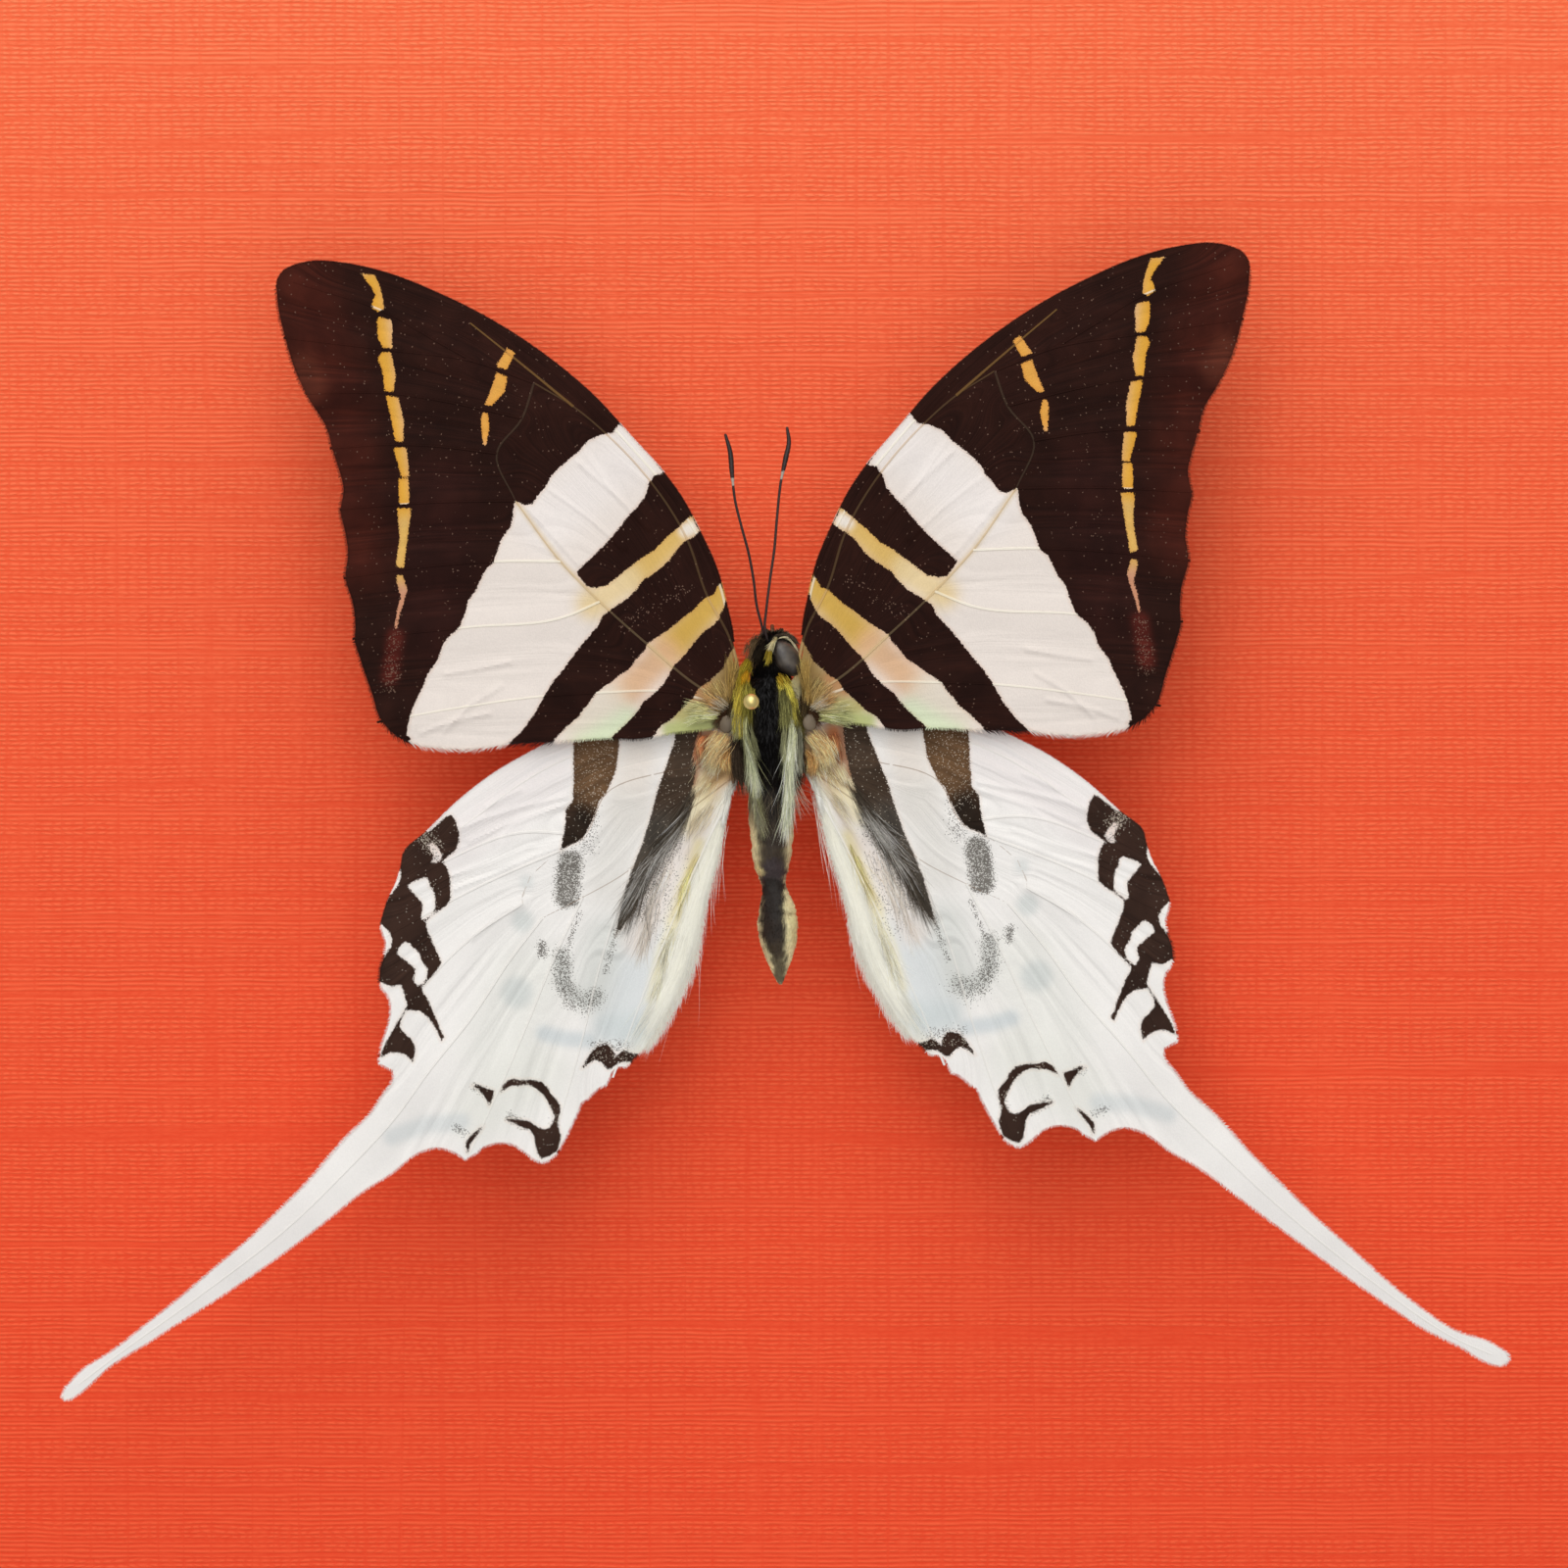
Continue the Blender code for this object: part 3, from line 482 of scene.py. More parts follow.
def toModel(wing, side, points):
    # left-wing pixels to millimetres, on the left (-1) or mirrored and turned on the right (1)
    points = np.asarray(points, dtype=float)
    out = (wing["leftRoot"][0] - points[:, 0]) * pixel
    ahead = (wing["leftRoot"][1] - points[:, 1]) * pixel
    if side < 0:
        root = place(*wing["leftRoot"])
        return np.column_stack([root.x - out, root.y + ahead])
    root = place(*wing["rightRoot"])
    turn = math.radians(wing["rightTurn"])
    x = root.x + out * math.cos(turn) - ahead * math.sin(turn)
    y = root.y + out * math.sin(turn) + ahead * math.cos(turn) - tailSag(wing, out)
    return np.column_stack([x, y])


def toReading(wing, side, spots):
    # millimetres back to left-wing pixels
    if side < 0:
        root = place(*wing["leftRoot"])
        out, ahead = root.x - spots[:, 0], spots[:, 1] - root.y
    else:
        root = place(*wing["rightRoot"])
        turn = math.radians(wing["rightTurn"])
        dx, dy = spots[:, 0] - root.x, spots[:, 1] - root.y
        out = dx * math.cos(turn) + dy * math.sin(turn)
        for _ in range(3):
            lifted = dy + tailSag(wing, out)
            out = dx * math.cos(turn) + lifted * math.sin(turn)
        ahead = -dx * math.sin(turn) + lifted * math.cos(turn)
    return np.column_stack([wing["leftRoot"][0] - out / pixel, wing["leftRoot"][1] - ahead / pixel])


def ringFrame(ring):
    # the directions along a closed ring and out of it, at each of its points
    ahead = np.roll(ring, -1, axis=0) - np.roll(ring, 1, axis=0)
    ahead /= np.maximum(np.linalg.norm(ahead, axis=1), 1e-9)[:, None]
    area = np.sum(ring[:, 0] * np.roll(ring[:, 1], -1) - np.roll(ring[:, 0], -1) * ring[:, 1])
    return ahead, np.column_stack([ahead[:, 1], -ahead[:, 0]]) * np.sign(area)


def wingRing(wing, side, spacing, inset):
    # the wing's closed outline, set in by the width of its fringe
    runs = [smoothPath(toModel(wing, side, run), spacing)[:-1] for run in wing["runs"]]
    last = toModel(wing, side, wing["runs"][-1][-1:])
    ring = np.vstack(runs + [last])
    return ring - ringFrame(ring)[1] * inset


def layCurve(points, radii, roundness):
    # a tapering round cord through the points, made a mesh
    deselectAll()
    bpy.ops.curve.primitive_bezier_curve_add()
    piece = bpy.context.object
    curve = piece.data
    curve.dimensions = "3D"
    curve.splines.clear()
    spline = curve.splines.new("POLY")
    spline.points.add(len(points) - 1)
    for knot, spot, radius in zip(spline.points, points, radii):
        knot.co = (*spot, 1.0)
        knot.radius = radius
    curve.bevel_depth = 1.0
    curve.bevel_resolution = roundness
    curve.use_fill_caps = True
    bpy.ops.object.convert(target="MESH")
    return bpy.context.object


def cutSheet(ring):
    # a thin slab of small squares, cut to the outline
    low, high = ring.min(axis=0) - 0.5, ring.max(axis=0) + 0.5
    size = high - low
    counts = np.ceil(size / wingSheet["cell"]).astype(int)
    deselectAll()
    bpy.ops.mesh.primitive_grid_add(
        x_subdivisions=int(counts[0]), y_subdivisions=int(counts[1]), size=1.0,
        location=(*(low + size / 2), 0.0),
    )
    sheet = bpy.context.object
    sheet.scale = (size[0], size[1], 1.0)
    bpy.ops.object.transform_apply(location=True, rotation=True, scale=True)
    applyModifier(sheet, "SOLIDIFY", thickness=wingSheet["thickness"], offset=0.0)

    deselectAll()
    bpy.ops.mesh.primitive_circle_add(vertices=len(ring), radius=1.0, fill_type="NGON")
    prism = bpy.context.object
    flat = np.column_stack([ring, np.full(len(ring), -1.0)])
    setCoordinates(prism.data, flat)
    bpy.ops.object.mode_set(mode="EDIT")
    bpy.ops.mesh.select_all(action="SELECT")
    bpy.ops.mesh.extrude_region_move(TRANSFORM_OT_translate={"value": (0.0, 0.0, 2.0)})
    bpy.ops.mesh.select_all(action="SELECT")
    bpy.ops.mesh.normals_make_consistent(inside=False)
    bpy.ops.object.mode_set(mode="OBJECT")
    applyModifier(sheet, "BOOLEAN", operation="INTERSECT", solver="MANIFOLD", object=prism)
    bpy.data.objects.remove(prism, do_unlink=True)
    applyModifier(sheet, "TRIANGULATE")
    return sheet


def veinLevels(spots, wing):
    # a smooth count across the veins, which the wrinkles and folds follow
    total = np.zeros(len(spots))
    weights = np.zeros(len(spots))
    for name, values in wing["levels"].items():
        gap, along = lineDistance(spots, wing["veins"].get(name) or wing["edges"][name])
        weight = 1.0 / (gap + 2.0) ** 3
        total += weight * np.interp(along, np.linspace(0.0, 1.0, len(values)), values)
        weights += weight
    return total / weights


def wingRelief(spots, wing):
    # height of the pleats, folds and silky roll over the wing's smooth surface, at left-wing pixels
    nearest = np.full(len(spots), 1e9)
    for line in wing["veins"].values():
        nearest = np.minimum(nearest, lineDistance(spots, line)[0])
    relief = -wingSheet["pleat"] * np.minimum(nearest * pixel / wingSheet["pleatReach"], 1.0) ** 1.5
    levels = veinLevels(spots, wing)
    slopes = [veinLevels(spots + np.array(step), wing) - levels for step in ((1.0, 0.0), (0.0, 1.0))]
    steepness = np.hypot(slopes[0], slopes[1])
    along = np.linalg.norm(spots - np.asarray(wing["leftRoot"]), axis=1)
    for perLevel, height in wingSheet["waves"]:
        phase = levels * perLevel + wingSheet["sway"] * np.sin(along / wingSheet["swayLength"] + levels * 1.7)
        width = 1.0 / np.maximum(steepness * perLevel, 1e-6)
        fade = (width - wingSheet["narrowest"]) / (wingSheet["widest"] - wingSheet["narrowest"])
        beat = wingSheet["beat"] * np.sin(along / wingSheet["beatLength"] + levels * 2.6)
        strength = np.clip(fade, 0.0, 1.0) * (1.0 - wingSheet["beat"] + beat)
        relief += wing["waveTimes"] * height * strength * np.sin(math.tau * phase)
    for line in wing["folds"]:
        gap = lineDistance(spots, line)[0]
        relief += wingSheet["foldHeight"] * np.exp(-((gap / wingSheet["foldWidth"]) ** 2))
    if wing["roll"]:
        gap = lineDistance(spots, wing["roll"]["margin"])[0]
        width = np.interp(spots[:, 1], *wing["roll"]["widths"])
        arch = np.sin(math.pi * np.clip(gap / width, 0.0, 1.0))
        relief += wing["roll"]["height"] * width / max(wing["roll"]["widths"][1]) * arch
    return relief


# Wings: their markings

forewingMarks = {
    "ground": (234, 223, 213),
    "ink": [
        [
            (633, 431), (625, 442), (615, 443), (600, 450), (590, 461), (579, 470), (568, 480), (561, 488),
            (557, 497), (550, 504), (544, 514), (536, 516), (525, 511), (524, 526), (521, 537), (512, 550),
            (508, 561), (504, 574), (496, 581), (491, 591), (486, 602), (478, 613), (474, 628), (469, 641),
            (458, 650), (451, 660), (447, 674), (437, 687), (433, 698), (426, 713), (421, 724), (417, 739),
            (415, 750), (420, 754), (405, 775), (400, 790), (240, 790), (240, 220), (560, 220), (640, 420),
        ],
        [
            (677, 483), (668, 485), (662, 494), (658, 507), (652, 515), (640, 528), (631, 540), (620, 553),
            (608, 565), (595, 577), (588, 584), (592, 590), (600, 599), (608, 600), (620, 597), (632, 587),
            (645, 577), (655, 569), (667, 562), (681, 547), (690, 540), (696, 534), (704, 527), (725, 520),
            (690, 470),
        ],
        [
            (715, 541), (706, 549), (701, 551), (693, 558), (683, 572), (670, 583), (655, 593), (649, 602),
            (640, 611), (631, 617), (622, 623), (615, 628), (611, 638), (600, 650), (592, 660), (582, 673),
            (575, 683), (564, 696), (556, 709), (546, 728), (532, 747), (521, 757), (515, 762), (510, 775),
            (560, 775), (564, 757), (570, 750), (580, 740), (590, 732), (596, 723), (603, 715), (608, 707),
            (622, 697), (632, 689), (643, 682), (649, 673), (658, 663), (660, 657), (668, 652), (680, 644),
            (690, 636), (700, 628), (707, 623), (715, 615), (720, 610), (728, 607), (732, 599), (737, 591),
            (750, 585), (735, 535),
        ],
        [
            (737, 591), (740, 601), (741, 612), (737, 623), (733, 632), (729, 637), (720, 643), (712, 651),
            (704, 661), (697, 670), (688, 679), (680, 693), (676, 699), (667, 708), (656, 717), (651, 725),
            (644, 733), (635, 742), (626, 751), (621, 756), (618, 775), (655, 775), (663, 755), (670, 747),
            (675, 740), (684, 735), (692, 727), (700, 720), (708, 712), (712, 703), (722, 697), (731, 688),
            (738, 682), (742, 673), (746, 665), (750, 658), (765, 650), (760, 600),
        ],
    ],
    "costalEdge": {
        "at": [(752, 640), (742, 603), (726, 560), (700, 507), (670, 468), (632, 427)], "reach": 3.2,
    },
    "windows": [
        [(368, 279), (383, 281), (388, 293), (391, 304), (392, 316), (387, 319), (380, 314), (381, 306),
         (384, 302), (379, 293), (372, 284)],
        [(387, 324), (399, 327), (401, 335), (400, 345), (401, 356), (391, 355), (386, 345), (385, 328)],
        [(390, 360), (399, 360), (404, 382), (402, 400), (393, 400), (391, 380), (386, 366)],
        [(395, 404), (407, 406), (412, 428), (412, 451), (404, 451), (401, 435), (395, 408)],
        [(403, 457), (415, 457), (418, 486), (410, 487), (402, 459)],
        [(407, 489), (417, 488), (418, 514), (408, 515)],
        [(406, 519), (420, 519), (418, 535), (412, 580), (404, 578), (408, 550)],
        [(405, 587), (411, 587), (416, 602), (413, 612), (410, 622), (405, 642), (403, 640), (406, 620),
         (409, 610), (405, 592)],
        [(518, 355), (526, 361), (517, 378), (506, 374)],
        [(507, 380), (518, 385), (515, 400), (502, 414), (495, 413), (501, 398)],
        [(492, 422), (497, 421), (500, 435), (496, 455), (493, 453), (491, 430)],
    ],
    "paleWashes": [
        tinted((240, 232, 226), 34, 0.8, (655, 450), (560, 530)),
        tinted((218, 180, 104), 22, 1.0, (700, 533), (655, 580)),
        tinted((228, 202, 150), 18, 0.9, (640, 592), (605, 616)),
        tinted((240, 232, 222), 8, 0.9, (706, 538), (700, 541)),
        tinted((209, 168, 82), 24, 1.0, (738, 600), (690, 655)),
        tinted((216, 172, 130), 19, 0.9, (676, 668), (640, 704)),
        tinted((228, 216, 196), 20, 0.8, (622, 716), (590, 742)),
        tinted((212, 224, 186), 17, 0.85, (640, 738), (600, 762)),
        tinted((198, 186, 124), 28, 0.9, (758, 690), (706, 740)),
        tinted((150, 120, 68), 15, 0.95, (752, 655), (743, 692)),
        tinted((158, 128, 80), 13, 0.9, (738, 700), (726, 702)),
        tinted((184, 136, 92), 11, 0.9, (720, 704), (708, 711)),
        tinted((184, 174, 112), 8, 0.85, (732, 727), (694, 729)),
        tinted((180, 186, 122), 9, 0.9, (724, 742), (684, 744)),
        # a dark brown line in the hollow where the forewing's root meets the body: painted shade
        tinted((62, 42, 32), 5, 0.9, (748, 708), (743, 722), (731, 739)),
        tinted((214, 190, 148), 3.4, 0.5, (700, 695), (660, 657), (612, 614), (572, 573), (526, 511)),
        tinted((224, 166, 62), 22, 1.0, (378, 290), (410, 520)),
        tinted((222, 178, 96), 20, 1.0, (414, 545), (410, 590)),
        tinted((206, 150, 118), 20, 1.0, (412, 612), (402, 640)),
        tinted((228, 166, 76), 24, 1.0, (520, 365), (495, 440)),
    ],
    "inkGround": (38, 17, 11),
    "inkWashes": [
        tinted((66, 25, 16), 45, 0.8, (300, 290), (335, 420), (352, 560)),
        tinted((92, 44, 30), 14, 0.6, (310, 372), (322, 395)),
        tinted((46, 22, 16), 40, 0.6, (450, 330), (560, 400)),
        tinted((46, 20, 16), 40, 0.6, (450, 500), (440, 640)),
        tinted((96, 34, 26), 9, 0.6, (404, 650), (398, 690)),
    ],
    "dust": [],
    "frost": [
        dusting(8, 0.06, (700, 600), (640, 640)),
        dusting(8, 0.18, (404, 650), (398, 700)),
    ],
}

hindwingMarks = {
    "ground": (244, 240, 234),
    "ink": [
        [   # the brown second band and its black middle
            (585, 740), (585, 800), (584, 818), (577, 826), (577, 838), (575, 852), (571, 869), (580, 863),
            (588, 860), (595, 854), (601, 844), (607, 831), (611, 818), (619, 808), (625, 795), (629, 782),
            (631, 765), (633, 740),
        ],
        [   # the first band
            (690, 740), (688, 757), (680, 780), (671, 805), (664, 832), (655, 862), (645, 888), (637, 912),
            (631, 938), (628, 954), (634, 948), (646, 929), (660, 904), (672, 879), (684, 852), (693, 835),
            (702, 818), (708, 797), (712, 772), (713, 740),
        ],
        [   # the marginal marks, with the scallops that they leave white along the edge
            (437, 849), (446, 841), (455, 833), (460, 831), (465, 838), (468, 850), (468, 860), (464, 869),
            (456, 875), (451, 879), (456, 886), (459, 896), (459, 904), (460, 918), (454, 925), (445, 931),
            (436, 938), (434, 942), (436, 950), (441, 962), (447, 975), (450, 983), (444, 992), (436, 1001),
            (429, 1009), (436, 1020), (441, 1031), (446, 1043), (450, 1053), (453, 1059), (450, 1062),
            (446, 1053), (441, 1044), (436, 1038), (428, 1032), (420, 1031), (414, 1031), (409, 1041),
            (408, 1049), (414, 1056), (420, 1061), (423, 1068), (423, 1076), (421, 1084), (414, 1077),
            (406, 1074), (398, 1074), (388, 1079), (391, 1069), (398, 1056), (404, 1045), (410, 1035),
            (415, 1026), (412, 1014), (409, 1005), (400, 1007), (392, 1004), (384, 1000), (376, 998),
            (376, 985), (387, 983), (393, 975), (399, 966), (400, 958), (397, 951), (392, 946), (386, 940),
            (378, 938), (384, 925), (392, 922), (400, 912), (407, 902), (409, 893), (408, 886), (404, 883),
            (396, 880), (402, 866), (420, 846),
        ],
        [   # the double mark at the inner corner
            (593, 1091), (596, 1085), (600, 1078), (605, 1072), (610, 1068), (616, 1066), (621, 1067),
            (627, 1075), (627, 1080), (632, 1075), (637, 1072), (644, 1075), (651, 1076), (653, 1079),
            (648, 1082), (641, 1084), (634, 1084), (629, 1086), (625, 1090), (620, 1092), (613, 1084),
            (607, 1082), (601, 1085), (597, 1089),
        ],
        [   # the horseshoe
            (510, 1115), (513, 1108), (518, 1103), (523, 1101), (530, 1103), (538, 1102), (546, 1103),
            (553, 1105), (558, 1110), (562, 1117), (567, 1122), (571, 1128), (571, 1136), (568, 1146),
            (570, 1153), (572, 1159), (571, 1167), (568, 1175), (561, 1180), (552, 1183), (548, 1177),
            (546, 1168), (544, 1159), (540, 1153), (534, 1151), (527, 1148), (520, 1145), (516, 1143),
            (521, 1142), (530, 1143), (538, 1144), (545, 1148), (551, 1152), (556, 1153), (561, 1151),
            (564, 1146), (566, 1140), (563, 1133), (560, 1127), (556, 1120), (551, 1115), (545, 1110),
            (538, 1107), (530, 1108), (522, 1108), (516, 1111),
        ],
        [(481, 1108), (488, 1107), (494, 1110), (504, 1113), (503, 1119), (499, 1129), (496, 1122),
         (488, 1112)],
        [(493, 1149), (489, 1156), (480, 1168), (477, 1178), (475, 1175), (475, 1166), (480, 1159),
         (488, 1152)],
    ],
    "costalEdge": None,
    "windows": [
        [(436, 862), (441, 860), (447, 866), (451, 872), (449, 878), (444, 881), (440, 880), (442, 873),
         (438, 867)],
        [(419, 901), (428, 897), (433, 895), (437, 897), (438, 903), (442, 909), (444, 918), (444, 928),
         (441, 933), (433, 939), (429, 938), (430, 930), (431, 922), (422, 912), (415, 904)],
        [(411, 962), (415, 961), (423, 968), (428, 973), (430, 980), (436, 988), (436, 995), (434, 1001),
         (426, 1007), (421, 1000), (423, 993), (423, 988), (413, 980), (405, 974), (406, 968)],
    ],
    "paleWashes": [
        tinted((240, 232, 228), 30, 0.7, (560, 790), (450, 870)),
        tinted((232, 222, 210), 22, 0.8, (650, 770), (640, 830)),
        tinted((226, 222, 214), 26, 0.8, (640, 830), (620, 900)),
        tinted((233, 232, 223), 44, 0.7, (540, 1000), (510, 1070)),
        tinted((231, 230, 220), 34, 0.7, (550, 1095), (490, 1135)),
        tinted((214, 215, 208), 30, 0.85, (622, 960), (612, 1010)),
        tinted((218, 222, 221), 26, 0.8, (660, 960), (640, 1040)),
        tinted((233, 221, 210), 18, 0.7, (690, 870), (650, 960)),
        tinted((228, 208, 158), 18, 0.9, (734, 780), (716, 806)),
        tinted((236, 222, 182), 16, 0.85, (716, 812), (700, 836)),
        tinted((214, 200, 190), 12, 0.7, (730, 832), (708, 872)),
        tinted((200, 160, 106), 22, 0.9, (745, 768), (740, 796)),
        tinted((198, 152, 110), 12, 0.9, (722, 736), (725, 758)),
        tinted((198, 122, 76), 8, 0.9, (722, 756), (717, 778)),
        tinted((166, 122, 92), 5, 0.9, (713, 736), (713, 770), (707, 798)),
        tinted((160, 110, 60), 6, 0.8, (752, 780), (748, 796)),
        tinted((140, 108, 72), 2.4, 0.7, (740, 788), (700, 820)),
        tinted((222, 206, 146), 8, 0.75, (714, 862), (700, 906), (688, 938), edge=2),
        tinted((236, 227, 192), 9, 0.8, (688, 946), (676, 978), (668, 1018)),
        tinted((240, 237, 224), 15, 0.9, (746, 815), (730, 872), (716, 935), (690, 1010), (652, 1076)),
        tinted((213, 216, 211), 17, 0.9, (527, 1013), edge=5),
        tinted((214, 217, 212), 12, 0.85, (533, 940), edge=4),
        tinted((216, 218, 214), 8, 0.7, (537, 900)),
        tinted((208, 214, 214), 9, 0.8, (555, 1055), (575, 1060), (600, 1062)),
        tinted((208, 214, 212), 18, 0.85, (620, 1050), (650, 1050)),
        tinted((212, 216, 214), 10, 0.7, (400, 1160), (435, 1148), (470, 1145)),
        tinted((196, 197, 190), 9, 0.65, (573, 976), (574, 1000), (582, 1014), (597, 1020), (606, 1016)),
        tinted((180, 178, 168), 12, 0.6, (582, 880), (578, 914), edge=5),
        tinted((232, 214, 200), 14, 0.6, (440, 866)),
        tinted((236, 231, 226), 40, 0.6, (300, 1240), (90, 1408)),
    ],
    "inkGround": (52, 35, 27),
    "inkWashes": [
        tinted((100, 74, 50), 34, 1.0, (608, 740), (606, 800)),
        tinted((38, 28, 20), 16, 1.0, (592, 838), (583, 860)),
        tinted((68, 54, 42), 30, 0.9, (700, 745), (690, 820)),
        tinted((74, 68, 60), 24, 0.9, (672, 850), (640, 940)),
        tinted((56, 37, 29), 26, 0.8, (430, 870), (400, 940)),
    ],
    "dust": [
        dusting(13, 0.74, (582, 880), (578, 914), edge=6),
        dusting(5, 0.9, (573, 884), (571, 918)),
        dusting(4, 0.95, (574, 923), (586, 921)),
        dusting(2.2, 0.5, (591, 933), (581, 960), (574, 985)),
        dusting(9, 0.5, (573, 976), (574, 1000), (580, 1012)),
        dusting(10, 0.42, (584, 1020), (597, 1024), (606, 1019)),
        dusting(2.6, 0.4, (629, 950), (622, 975), (617, 993)),
        dusting(10, 0.25, (600, 824), (600, 862)),
        dusting(9, 0.45, (690, 850), (652, 928)),
        dusting(14, 0.09, (684, 865), (672, 955)),
        dusting(4.5, 0.75, (552, 964), (554, 974)),
        dusting(5, 0.3, (606, 1066), (640, 1068)),
        dusting(5, 0.4, (520, 1140), (536, 1149)),
        dusting(4, 0.4, (464, 1152), (474, 1156)),
        dusting(4, 0.35, (484, 1110), (494, 1114)),
        dusting(4, 0.35, (568, 1136), (566, 1148)),
        dusting(6, 0.3, (430, 853), (444, 880)),
    ],
    "frost": [
        dusting(26, 0.07, (608, 745), (600, 815)),
        dusting(22, 0.02, (698, 750), (650, 910)),
        dusting(9, 0.35, (432, 854), (440, 862)),
        dusting(6, 0.10, (530, 1104), (566, 1140)),
        dusting(6, 0.10, (600, 1076), (650, 1078)),
    ],
}


def inkDepth(spots, marks):
    # how deep inside the dark markings a spot lies, in millimetres, negative outside them
    depth = np.full(len(spots), -1e9)
    for ring in marks["ink"]:
        depth = np.maximum(depth, depthInside(spots, ring))
    if marks["costalEdge"]:
        gap = lineDistance(spots, marks["costalEdge"]["at"])[0]
        depth = np.maximum(depth, marks["costalEdge"]["reach"] - gap)
    for ring in marks["windows"]:
        depth = np.minimum(depth, -depthInside(spots, ring))
    return depth * pixel


def mostOf(spots, washes, base=0.0):
    # the strongest of the washes at each place
    most = np.full(len(spots), base)
    for wash in washes:
        most = np.maximum(most, washWeight(spots, wash))
    return most


def paintWing(mesh, wing, marks, side, owners):
    # stores the markings at every vertex, worked out where it lies on the left wing
    spots = toReading(wing, side, coordinates(mesh)[:, :2])
    ribTones = np.tile(linear(wing["ribTone"]), (len(spots), 1))
    onPale = np.where(owners >= 0, 0.5, 0.0)
    onDark = np.zeros(len(spots))
    for rib, name in enumerate(wing["veins"]):
        if name in wing["ribLooks"]:
            tone, pale, dark = wing["ribLooks"][name]
            ribTones[owners == rib] = linear(tone)
            onPale[owners == rib] = pale
            onDark[owners == rib] = dark
    addValues(mesh, "ink", inkDepth(spots, marks))
    addValues(mesh, "dust", mostOf(spots, marks["dust"]))
    addValues(mesh, "frost", mostOf(spots, marks["frost"], 0.006))
    addValues(mesh, "ribOnPale", onPale)
    addValues(mesh, "ribOnDark", onDark)
    addValues(mesh, "lie", veinLevels(spots, wing))
    addValues(mesh, "along", np.linalg.norm(spots - np.asarray(wing["leftRoot"]), axis=1) * pixel)
    addColours(mesh, "ribTone", ribTones)
    addColours(mesh, "paleTone", paintWashes(spots, marks["ground"], marks["paleWashes"]))
    addColours(mesh, "inkTone", paintWashes(spots, marks["inkGround"], marks["inkWashes"]))


def mapWing(mesh, isVein):
    # the bake map: upper and under faces of the sheet, and of the veins, in four squares
    spots = coordinates(mesh)
    low = spots[:, :2].min(axis=0)
    size = (spots[:, :2].max(axis=0) - low).max()
    corners = np.empty(len(mesh.loops), dtype=np.int64)
    mesh.loops.foreach_get("vertex_index", corners)
    normals = np.empty(len(mesh.polygons) * 3)
    mesh.polygons.foreach_get("normal", normals)
    counts = np.empty(len(mesh.polygons), dtype=np.int64)
    mesh.polygons.foreach_get("loop_total", counts)
    under = np.repeat(normals.reshape(-1, 3)[:, 2] < 0, counts)
    flat = (spots[corners, :2] - low) / size * 0.48 + 0.01
    flat[:, 0] += 0.5 * under
    flat[:, 1] += 0.5 * (isVein[corners] > 0.5)
    layer = mesh.uv_layers.new(name="OFBake")
    layer.data.foreach_set("uv", np.ascontiguousarray(flat, dtype=np.float32).ravel())


def makeWing(name, wing, marks, side, material, slot, nodes):
    sheet = cutSheet(wingRing(wing, side, 0.6, wingSheet["fringe"]))
    spots = coordinates(sheet.data)
    relief = wingRelief(toReading(wing, side, spots[:, :2]), wing)
    spots[:, 2] += wingLevel(spots, wing["drop"]) + relief
    setCoordinates(sheet.data, spots)
    owners = [np.full(len(spots), -1)]

    ribs = []
    for rib, line in wing["veins"].items():
        flat = smoothPath(toModel(wing, side, line), 0.7)
        level = wingLevel(flat, wing["drop"]) + wingRelief(toReading(wing, side, flat), wing)
        radii = np.linspace(wingSheet["veinRoot"], wingSheet["veinTip"], len(flat))
        radii *= wing.get("ribWidths", {}).get(rib, 1.0)
        ribs.append(layCurve(np.column_stack([flat, level]), radii, 1))
        owners.append(np.full(len(ribs[-1].data.vertices), len(ribs) - 1))
    owners = np.concatenate(owners)
    piece = joinPieces([sheet] + ribs)
    paintWing(piece.data, wing, marks, side, owners)
    mapWing(piece.data, (owners >= 0).astype(float))
    return finishPiece(piece, name, material, slot, *nodes)


